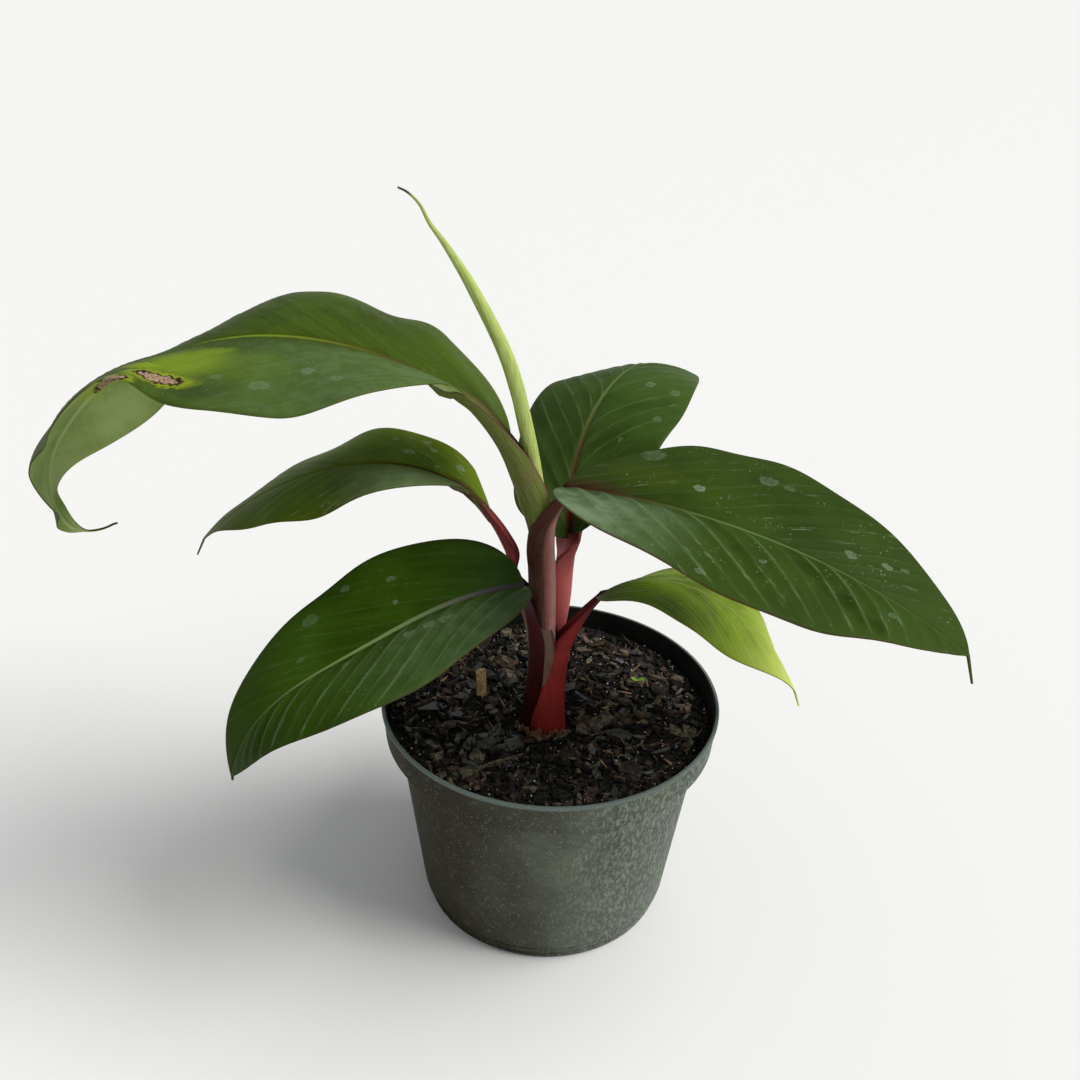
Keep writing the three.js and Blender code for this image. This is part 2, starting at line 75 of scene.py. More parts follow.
class Wire:
    """A socket in a material's nodes. Sums and products of wires add Math nodes."""

    def __init__(self, tree, socket=None):
        self.tree = tree
        self.socket = socket

    def node(self, kind, settings, inputs, output=0):
        """Adds any node: its settings come first, then the values or wires of its sockets."""
        made = self.tree.nodes.new(kind)
        for name, value in settings.items():
            setattr(made, name, value)
        for name, value in inputs.items():
            if isinstance(value, Wire):
                self.tree.links.new(value.socket, made.inputs[name])
            else:
                made.inputs[name].default_value = value
        return Wire(self.tree, made.outputs[output] if made.outputs else None)

    def paired(self, other):
        """A flat map from two wires."""
        return self.node("ShaderNodeCombineXYZ", {}, {0: self, 1: other})

    def maths(self, operation, *values):
        """A Math node, which works on single numbers."""
        return self.node("ShaderNodeMath", {"operation": operation}, dict(enumerate(values)))

    def vectors(self, operation, *values, output=0):
        """A Vector Math node, through which coordinates pass whole."""
        return self.node("ShaderNodeVectorMath", {"operation": operation}, dict(enumerate(values)), output)

    def __add__(self, other):
        return self.maths("ADD", self, other)

    __radd__ = __add__

    def __sub__(self, other):
        return self.maths("SUBTRACT", self, other)

    def __rsub__(self, other):
        return self.maths("SUBTRACT", other, self)

    def __mul__(self, other):
        return self.maths("MULTIPLY", self, other)

    __rmul__ = __mul__

    def __truediv__(self, other):
        return self.maths("DIVIDE", self, other)

    def between(self, low, high):
        """Runs from 0 where the wire is at low to 1 where it is at high, which may be the lower one."""
        settings = {"interpolation_type": "SMOOTHSTEP", "clamp": True}
        if low < high:
            return self.node("ShaderNodeMapRange", settings, {0: self, 1: low, 2: high, 3: 0.0, 4: 1.0})
        return self.node("ShaderNodeMapRange", settings, {0: self, 1: high, 2: low, 3: 1.0, 4: 0.0})

    def mix(self, first, second):
        """A colour from first, where the wire is 0, to second, where it is 1."""
        settings = {"data_type": "RGBA", "blend_type": "MIX", "clamp_factor": True}
        return self.node("ShaderNodeMix", settings, {0: self, 6: first, 7: second}, output=2)

    def output(self, index):
        """Another output of the same node."""
        return Wire(self.tree, self.socket.node.outputs[index])

    def magnitude(self):
        return self.maths("ABSOLUTE", self)

    def fraction(self):
        return self.maths("FRACT", self)

    def axis(self, letter):
        return self.node("ShaderNodeSeparateXYZ", {}, {0: self}, output="XYZ".index(letter))

    def grain(self, scale, detail=2.0, roughness=0.5):
        """Cloudy noise over the wire's coordinates, from 0 to 1."""
        inputs = {"Vector": self, "Scale": scale, "Detail": detail, "Roughness": roughness}
        return self.node("ShaderNodeTexNoise", {"noise_dimensions": "3D"}, inputs)

    def cells(self, scale):
        """The distance to the nearest of many scattered points."""
        return self.node("ShaderNodeTexVoronoi", {"feature": "F1"}, {"Vector": self, "Scale": scale})

    def spots(self, scale, smallest, largest, share_bare):
        """Scattered round spots of uneven size. A share of the places for them stays bare."""
        near = self.cells(scale)
        lot = near.output(1)
        chance = lot.axis("X")
        size = smallest + lot.axis("Y") * (largest - smallest)
        return (1 - near / size).between(0.0, 0.25) * chance.between(share_bare, share_bare + 0.01)

    def from_spot(self, centre, reach):
        """How far out from a spot on a flat map. It is 1 on the oval whose half sizes are reach."""
        shares = (1 / reach[0], 1 / reach[1], 0.0)
        offset = self.vectors("SUBTRACT", self, (*centre, 0.0))
        scaled = self.vectors("MULTIPLY", offset, shares)
        return self.vectors("LENGTH", scaled, output=1)

    def bend(self, scale, depth):
        """Coordinates shifted a little by noise, so that what is drawn on them is uneven."""
        shift = self.vectors("SUBTRACT", self.grain(scale).output(1), (0.5, 0.5, 0.5))
        return self.vectors("MULTIPLY_ADD", shift, (depth, depth, depth), self)

    def stretch(self, x, y, z):
        """Coordinates scaled by different amounts each way, for a pattern that is drawn out."""
        inputs = {"Vector": self, "Scale": (x, y, z)}
        return self.node("ShaderNodeMapping", {"vector_type": "POINT"}, inputs)

    def relief(self, strength, depth):
        """Turns a height into a surface's Normal."""
        inputs = {"Strength": strength, "Distance": depth, "Height": self}
        return self.node("ShaderNodeBump", {}, inputs)


def tint(red, green, blue):
    """A paint colour, given as it looks on a screen from 0 to 255, as Blender's linear colour."""
    # The numbers are those of the standard curve between a screen's values and the light it gives
    shares = [value / 255 for value in (red, green, blue)]
    linear = [s / 12.92 if s < 0.04045 else ((s + 0.055) / 1.055) ** 2.4 for s in shares]
    return (*linear, 1.0)


def new_finish(name):
    """A material and its Object coordinates, ready for a pattern."""
    material = bpy.data.materials.new(name)
    material.use_nodes = True
    material.node_tree.nodes.clear()
    start = Wire(material.node_tree)
    return material, start.node("ShaderNodeTexCoord", {}, {}, output=3)


def cover(material, wire, **inputs):
    """Gives the material its shader, with plain values or wires in the named sockets."""
    named = {name.replace("_", " "): value for name, value in inputs.items()}
    surface = wire.node("ShaderNodeBsdfPrincipled", {}, named)
    wire.node("ShaderNodeOutputMaterial", {}, {"Surface": surface})


def turned_body(name, outline, sides):
    """A disc drawn up ring by ring, as on a wheel, through (radius, height) points."""
    bpy.ops.object.select_all(action="DESELECT")
    radius, height = outline[0]
    bpy.ops.mesh.primitive_circle_add(
        vertices=sides, radius=radius, fill_type="NGON", location=(0, 0, height)
    )
    body = bpy.context.object
    body.name = name
    bpy.ops.object.transform_apply(location=True, rotation=True, scale=True)
    bpy.ops.object.mode_set(mode="EDIT")
    bpy.ops.mesh.select_all(action="SELECT")
    for next_radius, next_height in outline[1:]:
        rise = (0, 0, next_height - height)
        share = next_radius / radius
        bpy.ops.mesh.extrude_region_move(TRANSFORM_OT_translate={"value": rise})
        bpy.ops.transform.resize(value=(share, share, 1), center_override=(0, 0, next_height))
        radius, height = next_radius, next_height
    bpy.ops.mesh.select_all(action="SELECT")
    bpy.ops.mesh.normals_make_consistent(inside=False)
    bpy.ops.object.mode_set(mode="OBJECT")
    return body


pot = turned_body(
    "pot_shell",
    [
        (FOOT_RADIUS - 2 * EDGE_ROUND, 0),
        (FOOT_RADIUS, 2 * EDGE_ROUND),
        (FOOT_RADIUS, GROOVE_LOW * FOOT_HEIGHT),
        (FOOT_RADIUS - FOOT_GROOVE, GROOVE_MIDDLE * FOOT_HEIGHT),
        (FOOT_RADIUS, GROOVE_HIGH * FOOT_HEIGHT),
        (FOOT_RADIUS + FOOT_GROOVE, FOOT_HEIGHT),
        (WALL_FOOT_RADIUS, STEP_LOW * FOOT_HEIGHT),
        (WALL_FOOT_RADIUS - FOOT_GROOVE, STEP_MIDDLE * FOOT_HEIGHT),
        (WALL_FOOT_RADIUS + FOOT_GROOVE, STEP_HIGH * FOOT_HEIGHT),
        (WALL_TOP_RADIUS, shoulder - 4 * EDGE_ROUND),
        (WALL_TOP_RADIUS + 2 * EDGE_ROUND, shoulder),
        (BAND_FOOT_RADIUS - EDGE_ROUND, shoulder),
        (BAND_FOOT_RADIUS, shoulder + EDGE_ROUND),
        (rim_radius - LIP_STAND, pot_height - LIP_HEIGHT),
        (rim_radius, pot_height - LIP_HEIGHT + LIP_STAND),
        (rim_radius, pot_height - EDGE_ROUND),
        (rim_radius - EDGE_ROUND, pot_height),
        (rim_radius - POT_WALL, pot_height),
        (rim_radius - POT_WALL - EDGE_ROUND, pot_height - EDGE_ROUND),
        (BAND_FOOT_RADIUS - POT_WALL, shoulder + POT_WALL),
        (WALL_TOP_RADIUS - POT_WALL, shoulder + POT_WALL - EDGE_ROUND),
        (WALL_FOOT_RADIUS - POT_WALL, POT_FLOOR + FOOT_HEIGHT),
        (FOOT_RADIUS - POT_WALL, POT_FLOOR),
    ],
    POT_SIDES,
)
bpy.ops.object.shade_smooth_by_angle(angle=math.radians(POT_CREASE))

# Painted shade, a dull olive, lies on the pot's left side, and fine pale scuffs with painted sheen
# on its right, each from one x to another
LEFT_SHADE_REACH = (0.050, -0.020)
SCUFF_SHEEN_REACH = (0.018, 0.062)
FLECK_SIZE = (0.34, 0.18)
PLASTIC_DARK = tint(64, 68, 57)
PLASTIC_LIGHT = tint(92, 98, 84)
LEFT_SHADE_TINT = tint(35, 29, 4)
SCUFF_SHEEN_TINT = tint(138, 152, 138)
LIP_HIGHLIGHT_TINT = tint(98, 110, 104)
FLECK_TINT = tint(146, 152, 140)
pot_plastic, place = new_finish("pot_plastic_speckled")
flecks = place.cells(900.0).between(*FLECK_SIZE) * place.grain(260.0).between(0.42, 0.62)
haze = place.grain(22.0, detail=6.0, roughness=0.65)
height = place.axis("Z")
lip = height.between(pot_height - LIP_HEIGHT, pot_height - EDGE_ROUND)
wall_color = haze.between(0.25, 0.75).mix(PLASTIC_DARK, PLASTIC_LIGHT)
# Painted shade: the side away from the light is tinted dark olive
left_painted_shade = (place.axis("X") + haze * 0.06).between(*LEFT_SHADE_REACH)
wall_color = (left_painted_shade * 0.94).mix(wall_color, LEFT_SHADE_TINT)
# Pale scuffs on the lit right side, partly real wear and partly painted sheen
scuffs_and_sheen = place.stretch(1.0, 1.0, 0.45).grain(640.0, detail=4.0, roughness=0.7).between(0.44, 0.64)
lit_right_side = (place.axis("X") + haze * 0.04).between(*SCUFF_SHEEN_REACH)
wall_color = (scuffs_and_sheen * lit_right_side * 0.7).mix(wall_color, SCUFF_SHEEN_TINT)
# The lip is painted lighter: a painted highlight along the rim
wall_color = lip.mix(wall_color, LIP_HIGHLIGHT_TINT)
wall_color = (flecks * (0.75 - left_painted_shade * 0.3)).mix(wall_color, FLECK_TINT)
cover(
    pot_plastic,
    place,
    Base_Color=wall_color,
    Roughness=0.5 + haze * 0.2 - flecks * 0.15,
    Normal=(place.grain(420.0, detail=3.0) + flecks * 0.5).relief(0.25, 0.0006),
    Specular_IOR_Level=0.16,
)
pot.data.materials.append(pot_plastic)

# Inside, the wall above the floor is painted nearly black: painted shade in the pot's hollow, with the
# stain of the damp mix
INSIDE_LOW = 2 * FOOT_HEIGHT
HARDLY_INWARD = -1e-6
INSIDE_STAIN_SHADE_DARK = tint(13, 14, 12)
INSIDE_STAIN_SHADE_LIGHT = tint(34, 37, 33)
pot_inside_stain_and_shade, place = new_finish("pot_plastic_inside_stain_and_shade")
inside_stain_and_shade = place.grain(60.0, detail=4.0).between(0.35, 0.7).mix(INSIDE_STAIN_SHADE_DARK, INSIDE_STAIN_SHADE_LIGHT)
cover(pot_inside_stain_and_shade, place, Base_Color=inside_stain_and_shade, Roughness=0.6, Specular_IOR_Level=0.2)
pot.data.materials.append(pot_inside_stain_and_shade)
for face in pot.data.polygons:
    outward = face.center.x * face.normal.x + face.center.y * face.normal.y
    face.material_index = int(outward < HARDLY_INWARD and face.center.z > INSIDE_LOW)
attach(pot, "root")
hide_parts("pot")

# Potting mix. Damp peat and fine bark fill the pot to about a centimetre below its lip. The bed is one
# body that fits the pot's inside with a hair's clearance. Its top is lumpy, and more even by the stem.
MIX_LEVEL = 0.104
MIX_CLEARANCE = 0.0003
MIX_RINGS = 44
MIX_HEAPED = 0.0008
MIX_SWELL = 0.0017
MIX_SWELL_SCALE = 45
MIX_LUMP = 0.0007
MIX_LUMP_SCALE = 240
STEM_CENTRE = (-0.0025, -0.008)
STEM_FOOT_RADIUS = 0.010
STEM_CLEARING = 0.017


def mix_height(x, y):
    """The level of the mix at a place, with broad swells and fine lumps."""
    from_stem = math.hypot(x - STEM_CENTRE[0], y - STEM_CENTRE[1])
    open_share = min(max((from_stem - STEM_FOOT_RADIUS) / STEM_CLEARING, 0), 1)
    broad = noise.noise(Vector((x, y, 0)) * MIX_SWELL_SCALE)
    fine = noise.noise(Vector((x, y, 1)) * MIX_LUMP_SCALE)
    return MIX_LEVEL + MIX_HEAPED + open_share * MIX_SWELL * broad + MIX_LUMP * fine


clear = POT_WALL + MIX_CLEARANCE
mix_edge = BAND_FOOT_RADIUS - clear
bed = turned_body(
    "potting_mix_bed",
    [
        (FOOT_RADIUS - clear, POT_FLOOR + MIX_CLEARANCE),
        (WALL_FOOT_RADIUS - clear, POT_FLOOR + FOOT_HEIGHT + MIX_CLEARANCE),
        (WALL_TOP_RADIUS - clear, shoulder + clear),
        (mix_edge, shoulder + clear),
        *[(mix_edge * (1 - ring / MIX_RINGS), MIX_LEVEL) for ring in range(MIX_RINGS)],
    ],
    POT_SIDES,
)
for corner in bed.data.vertices:
    if corner.co.z > MIX_LEVEL - MIX_CLEARANCE:
        corner.co.z = mix_height(corner.co.x, corner.co.y)
bpy.ops.object.shade_smooth()

PEAT_DARK = tint(8, 7, 6)
PEAT_LIGHT = tint(32, 27, 23)
peat, place = new_finish("peat_and_fine_bark")
crumb = place.cells(420.0)
peat_color = place.grain(180.0, detail=4.0).between(0.35, 0.7).mix(PEAT_DARK, PEAT_LIGHT)
cover(peat, place, Base_Color=peat_color, Roughness=0.9, Normal=(1 - crumb).relief(0.8, 0.002))
bed.data.materials.append(peat)
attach(bed, "root")
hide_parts("potting_mix")

# Loose top of the mix: crumbs of peat, torn bark chips, slivers of wood, white perlite and round
# fertiliser beads. They lie tumbled on the bed, and the bits of each kind are one joined piece.
BED_RADIUS = 0.0775
STEM_KEEP_CLEAR = 0.0125
CHIP_UNEVENNESS = 0.35
CHIP_INSET = 0.06
CHIP_CROWN = 0.08
FINISH_STEP = 7
FINISH_CYCLE = 11
FULL_TURN = 6.28
random.seed(7)


def model_lump(name, fineness, bite):
    """A small rough lump: a coarse ball with its corners pushed in and out."""
    bpy.ops.object.select_all(action="DESELECT")
    bpy.ops.mesh.primitive_ico_sphere_add(subdivisions=fineness, radius=0.5, location=(0, 0, 0))
    lump = bpy.context.object
    lump.name = name
    for corner in lump.data.vertices:
        corner.co *= 1 + random.uniform(-bite, bite)
    return lump


def model_chip(name, sides, bite):
    """A flat torn chip: a low prism with a ragged outline and an uneven, slightly crowned top."""
    bpy.ops.object.select_all(action="DESELECT")
    bpy.ops.mesh.primitive_cylinder_add(vertices=sides, radius=0.5, depth=1, location=(0, 0, 0))
    chip = bpy.context.object
    chip.name = name
    ragged = [1 + random.uniform(-bite, bite) for _ in range(sides)]
    for corner in chip.data.vertices:
        turn = round(math.atan2(corner.co.x, corner.co.y) / (2 * math.pi) * sides) % sides
        corner.co.x *= ragged[turn]
        corner.co.y *= ragged[turn]
        corner.co.z *= 1 + random.uniform(-CHIP_UNEVENNESS, CHIP_UNEVENNESS)
    bpy.ops.object.mode_set(mode="EDIT")
    bpy.ops.mesh.select_all(action="DESELECT")
    bpy.ops.object.mode_set(mode="OBJECT")
    for face in chip.data.polygons:
        face.select = face.normal.z > 0.5
    bpy.ops.object.mode_set(mode="EDIT")
    bpy.ops.mesh.inset(thickness=CHIP_INSET, depth=CHIP_CROWN)
    bpy.ops.mesh.quads_convert_to_tris()
    bpy.ops.object.mode_set(mode="OBJECT")
    return chip


def strew(name, models, lie, finishes):
    """One joined mesh of many copies. Each entry of lie is (x, y, lift, size, turn, tilt), in radians."""
    corners, faces, kinds = [], [], []
    for k, (x, y, lift, size, turn, tilt) in enumerate(lie):
        model = models[k % len(models)].data
        spin = Matrix.Rotation(turn, 4, "Z")
        spin = spin @ Matrix.Rotation(tilt[0], 4, "X") @ Matrix.Rotation(tilt[1], 4, "Y")
        pose = Matrix.Translation((x, y, mix_height(x, y) + lift)) @ spin @ Matrix.Diagonal((*size, 1))
        first = len(corners)
        corners.extend(pose @ corner.co for corner in model.vertices)
        faces.extend([first + index for index in face.vertices] for face in model.polygons)
        kinds.extend([k * FINISH_STEP % FINISH_CYCLE % len(finishes)] * len(model.polygons))
    mesh = bpy.data.meshes.new(name)
    mesh.from_pydata(corners, [], faces)
    mesh.polygons.foreach_set("material_index", kinds)
    for finish in finishes:
        mesh.materials.append(finish)
    piece = bpy.data.objects.new(name, mesh)
    bpy.context.scene.collection.objects.link(piece)
    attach(piece, "root")
    return piece


def random_spot(inner=STEM_KEEP_CLEAR, outer=BED_RADIUS):
    """A spot on the bed, all of it as likely, clear of the stem and inside the pot's wall."""
    while True:
        x, y = random.uniform(-outer, outer), random.uniform(-outer, outer)
        from_stem = math.hypot(x - STEM_CENTRE[0], y - STEM_CENTRE[1])
        if math.hypot(x, y) < outer and from_stem > inner:
            return x, y


def random_tilt(most):
    """Two tilts of a loose bit, each up to this many radians either way."""
    return random.uniform(-most, most), random.uniform(-most, most)


def mix_finish(name, dark, light, roughness, shine=0.25):
    """A dull finish for loose bits, mottled between two tints."""
    finish, place = new_finish(name)
    mottle = place.grain(330.0, detail=4.0, roughness=0.7)
    color = mottle.between(0.36, 0.66).mix(tint(*dark), tint(*light))
    cover(
        finish,
        place,
        Base_Color=color,
        Roughness=roughness,
        Normal=mottle.relief(0.7, 0.0007),
        Specular_IOR_Level=shine,
    )
    return finish


lumps = [model_lump(f"crumb_model_{k}", 1, 0.42) for k in range(5)]
chips = [model_chip(f"chip_model_{k}", 4 + k % 3, 0.34) for k in range(8)]
splints = [model_chip(f"splint_model_{k}", 4, 0.25) for k in range(3)]
pearls = [model_lump("bead_model", 2, 0.0)]

near_black = mix_finish("peat_crumb", (6, 6, 5), (26, 24, 20), 0.85)
dark_brown = mix_finish("fine_bark", (15, 12, 10), (54, 45, 35), 0.8)
grey_brown = mix_finish("weathered_bark", (48, 42, 33), (116, 104, 86), 0.75)
damp_bark = mix_finish("damp_bark", (12, 11, 10), (52, 48, 42), 0.36, 0.6)
warm_bark = mix_finish("warm_bark", (32, 22, 15), (84, 62, 46), 0.7)
tan_wood = mix_finish("torn_wood", (104, 78, 56), (160, 128, 98), 0.7)
red_wood = mix_finish("red_wood", (86, 52, 40), (140, 92, 74), 0.7)

CRUMBS = 5600
CRUMB_SIZE = (0.0011, 0.0031)
CRUMB_LIFT = 0.15
CRUMB_TILT = 0.9
crumb_lie = []
for _ in range(CRUMBS):
    size = random.uniform(*CRUMB_SIZE)
    shape = (size * random.uniform(0.8, 1.7), size, size * random.uniform(0.5, 0.9))
    spot = random_spot()
    turn = random.uniform(0, FULL_TURN)
    crumb_lie.append((*spot, CRUMB_LIFT * size, shape, turn, random_tilt(CRUMB_TILT)))
strew("peat_crumbs", lumps, crumb_lie, [near_black, near_black, dark_brown, near_black, dark_brown])

FINE_CHIPS = 900
FINE_CHIP_LENGTH = (0.003, 0.0078)
FINE_CHIP_THICKNESS = (0.0009, 0.0018)
FINE_CHIP_LIFT = 0.0014
FINE_CHIP_TILT = 0.65
FINE_CHIP_OUTER = BED_RADIUS - 0.0035
fine_lie = []
for _ in range(FINE_CHIPS):
    length = random.uniform(*FINE_CHIP_LENGTH)
    shape = (length, length * random.uniform(0.25, 0.6), random.uniform(*FINE_CHIP_THICKNESS))
    spot = random_spot(outer=FINE_CHIP_OUTER)
    turn = random.uniform(0, FULL_TURN)
    fine_lie.append((*spot, FINE_CHIP_LIFT, shape, turn, random_tilt(FINE_CHIP_TILT)))
fine_finishes = [dark_brown, damp_bark, near_black, grey_brown, near_black, warm_bark, near_black]
strew("fine_bark_chips", chips, fine_lie, fine_finishes)

BARK_CHIPS = 110
CHIP_LENGTH = (0.006, 0.0115)
CHIP_THICKNESS = (0.0012, 0.0022)
CHIP_LIFT = 0.0019
CHIP_TILT = 0.4
CHIP_LIMITS = (0.018, BED_RADIUS - 0.005)
SHOWN_CHIP_THICKNESS = 0.0020
SHOWN_CHIP_LIFT = 0.0018
SHOWN_CHIP_TILT = 0.18
# The chips that show best lie where the plant's own do, as (x, y, length, width, turn in degrees)
SHOWN_CHIPS = [
    (0.0263, -0.0059, 0.0155, 0.0066, 4),
    (0.0386, -0.0052, 0.0095, 0.0080, 40),
    (0.0559, 0.0203, 0.0100, 0.0085, 60),
    (0.0655, 0.0297, 0.0100, 0.0090, 20),
    (0.0330, -0.0170, 0.0150, 0.0060, -20),
    (-0.0221, 0.0393, 0.0130, 0.0085, -15),
    (-0.0557, -0.0008, 0.0170, 0.0075, 25),
    (-0.0364, -0.0489, 0.0120, 0.0085, 10),
    (-0.0162, -0.0282, 0.0110, 0.0090, 70),
    (0.0370, -0.0429, 0.0120, 0.0110, 50),
    (0.0499, 0.0409, 0.0095, 0.0060, -35),
    (0.0610, -0.0150, 0.0120, 0.0075, -60),
    (-0.0370, 0.0600, 0.0120, 0.0070, 30),
    (0.0090, -0.0330, 0.0120, 0.0065, 35),
]
chip_lie = []
for x, y, length, width, turn in SHOWN_CHIPS:
    shape = (length, width, SHOWN_CHIP_THICKNESS)
    chip_lie.append((x, y, SHOWN_CHIP_LIFT, shape, math.radians(turn), random_tilt(SHOWN_CHIP_TILT)))
for _ in range(BARK_CHIPS):
    length = random.uniform(*CHIP_LENGTH)
    shape = (length, length * random.uniform(0.3, 0.65), random.uniform(*CHIP_THICKNESS))
    spot = random_spot(*CHIP_LIMITS)
    chip_lie.append((*spot, CHIP_LIFT, shape, random.uniform(0, FULL_TURN), random_tilt(CHIP_TILT)))
strew("bark_chips", chips, chip_lie, [grey_brown, damp_bark, warm_bark, dark_brown, damp_bark])

SLIVERS = 260
SLIVER_LENGTH = (0.005, 0.014)
SLIVER_WIDTH = (0.0006, 0.0014)
SLIVER_THICKNESS = (0.0005, 0.001)
SLIVER_LIFT = 0.0012
SLIVER_TILT = 0.3
SLIVER_LIMITS = (0.014, BED_RADIUS - 0.006)
SHOWN_SLIVER_WIDTH = 0.0021
SHOWN_SLIVER_THICKNESS = 0.0017
SHOWN_SLIVER_LIFT = 0.0024
SHOWN_SLIVER_TILT = 0.08
# The slivers that show best, as (x, y, length, turn in degrees)
SHOWN_SLIVERS = [
    (0.0405, 0.0610, 0.0170, -62),
    (0.0361, 0.0075, 0.0110, -50),
    (-0.0230, -0.0410, 0.0240, 28),
    (-0.0390, 0.0500, 0.0150, -50),
    (0.0060, -0.0210, 0.0130, 38),
]
sliver_lie = []
for x, y, length, turn in SHOWN_SLIVERS:
    shape = (length, SHOWN_SLIVER_WIDTH, SHOWN_SLIVER_THICKNESS)
    sliver_lie.append((x, y, SHOWN_SLIVER_LIFT, shape, math.radians(turn), random_tilt(SHOWN_SLIVER_TILT)))
for _ in range(SLIVERS):
    shape = tuple(random.uniform(*reach) for reach in (SLIVER_LENGTH, SLIVER_WIDTH, SLIVER_THICKNESS))
    spot = random_spot(*SLIVER_LIMITS)
    sliver_lie.append((*spot, SLIVER_LIFT, shape, random.uniform(0, FULL_TURN), random_tilt(SLIVER_TILT)))
sliver_finishes = [dark_brown, tan_wood, warm_bark, grey_brown, dark_brown, red_wood, grey_brown]
strew("wood_slivers", splints, sliver_lie, sliver_finishes)

# A short split stub of pale wood stands up out of the mix
STUB_PLACE = (-0.0345, 0.0080)
STUB_LIFT = 0.0080
STUB_SIZE = (0.0058, 0.0034, 0.0210)
STUB_TURN = 0.3
STUB_TILT = (0.30, -0.10)
yellow_wood = mix_finish("split_wood", (176, 144, 88), (244, 214, 150), 0.7)
strew("wood_stub", splints, [(*STUB_PLACE, STUB_LIFT, STUB_SIZE, STUB_TURN, STUB_TILT)], [yellow_wood])

PERLITE = 520
PERLITE_SIZE = (0.0004, 0.0012)
PERLITE_LIFT = 0.0014
PERLITE_TURN = 6
white_grit = mix_finish("perlite", (150, 146, 138), (214, 212, 206), 0.9)
perlite_lie = []
for _ in range(PERLITE):
    size = random.uniform(*PERLITE_SIZE)
    shape = (size, size * 0.9, size * 0.8)
    perlite_lie.append((*random_spot(), PERLITE_LIFT, shape, random.uniform(0, PERLITE_TURN), (0, 0)))
strew("perlite_grains", lumps, perlite_lie, [white_grit])

# Most of the beads lie where one pinch of them was dropped, and the rest are scattered
BEADS = 46
BEADS_TOGETHER = 30
BEAD_HEAP = (-0.029, -0.026)
BEAD_HEAP_SPREAD = 0.006
BEAD_SIZE = 0.0032
BEAD_LIFT = 0.0012
BEAD_KEEP_CLEAR = 0.016
bead_coat = mix_finish("bead_coat", (22, 27, 27), (50, 58, 57), 0.3, 0.6)
bead_lie = []
for k in range(BEADS):
    if k < BEADS_TOGETHER:
        spot = [random.gauss(middle, BEAD_HEAP_SPREAD) for middle in BEAD_HEAP]
    else:
        spot = random_spot(BEAD_KEEP_CLEAR)
    bead_lie.append((*spot, BEAD_LIFT, (BEAD_SIZE, BEAD_SIZE, BEAD_SIZE), 0.0, (0, 0)))
beads = strew("feed_beads", pearls, bead_lie, [bead_coat])
beads.data.shade_smooth()
for model in (*lumps, *chips, *splints, *pearls):
    bpy.data.objects.remove(model)

# Weed sprout. A pair of tiny seed leaves, bright green, has come up in the mix on the right. It is one
# thin strip, narrow in the middle where its stem would be, with both its ends raised.
SPROUT_PLACE = (0.0444, 0.0257)
SPROUT_HEIGHT = 0.0030
SPROUT_REACH = 0.0034
SPROUT_RAISE = 0.0016
SPROUT_HALF_WIDTH = 0.0013
SPROUT_NARROWEST = 0.0003
SPROUT_THICKNESS = 0.0004
SPROUT_DARK = tint(96, 140, 40)
SPROUT_LIGHT = tint(134, 176, 62)
sprout_green, place = new_finish("sprout_green")
sprout_color = place.grain(600.0).between(0.3, 0.7).mix(SPROUT_DARK, SPROUT_LIGHT)
cover(sprout_green, place, Base_Color=sprout_color, Roughness=0.5)
bpy.ops.object.select_all(action="DESELECT")
bpy.ops.mesh.primitive_grid_add(x_subdivisions=8, y_subdivisions=4, size=1, location=(0, 0, 0))
sprout = bpy.context.object
sprout.name = "weed_sprout"
for corner in sprout.data.vertices:
    along, across = 2 * corner.co.x, 2 * corner.co.y
    width = SPROUT_HALF_WIDTH * math.sin(math.pi * min(abs(along), 1)) + SPROUT_NARROWEST
    corner.co = (
        SPROUT_PLACE[0] + SPROUT_REACH * along,
        SPROUT_PLACE[1] + width * across,
        mix_height(*SPROUT_PLACE) + SPROUT_HEIGHT + SPROUT_RAISE * abs(along),
    )
bpy.ops.object.modifier_add(type="SOLIDIFY")
sprout.modifiers["Solidify"].thickness = SPROUT_THICKNESS
bpy.ops.object.modifier_apply(modifier="Solidify")
sprout.data.materials.append(sprout_green)
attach(sprout, "root")

# Oldest leaf, low on the right. Like every leaf of the plant it is one growth: a sheath that wraps
# the stem, a channelled stalk, and a thin blade on a midrib. This one is small and is yellowing.
LINE_STEPS = 120
RING_CORNERS = 36
ROW_LENGTH = 0.0016
SEAM = 0.00002
TUBE_CREASE = 50
# The sheath and stalk: walls as shares of the radius, and curls in degrees from the back to a margin
SHEATH_ROOT_DEPTH = 0.004
SHEATH_WALL = 0.2
STALK_WALL = 0.85
WALL_LOSS_AT_MARGIN = 0.75
MARGIN_LIP = 0.05
SHEATH_CURL = 174
STALK_CURL = 154
STALK_TOP_CURL = 100
STALK_RUN_IN = 0.016
RUN_IN_TAPER = 0.7
STALK_SINK = 0.35
STALK_SINK_LENGTH = 0.012
# The blade: reaches along it are shares of its length
BLADE_COLUMNS = 56
COLUMN_CROWDING = 1.35
ROW_CROWDING = 0.09
BLADE_THICKNESS = 0.0005
NARROWEST_HALF_WIDTH = 0.0009
THREAD_HALF_WIDTH = 0.0007
THREAD_TAPER = 0.6
ROUNDING = 0.002
SLIMMING_REACH = (0.84, 0.92)
TURN_OVER_REACH = (0.86, 0.97)
CUP_REACH = 0.07
LOBE_REACH = 0.12
DIP_REACH = 0.02
DIP_WIDTH = 0.003
GROOVE_DEPTH = 0.55
RIB_TAPER = 0.65
RIDGE_TAPER = 0.8
RIDGE_MARGIN = 0.0004
FINE_VEINS = 9
VEIN_PHASE = 50.5
VEIN_CURVE = 0.3
VEIN_HUG = 0.009
VEIN_HUG_WIDTH = 0.005
WAVE_LENGTH = 0.046
LEFT_WAVE_START = 2.1
RIGHT_WAVE_START = 0.4
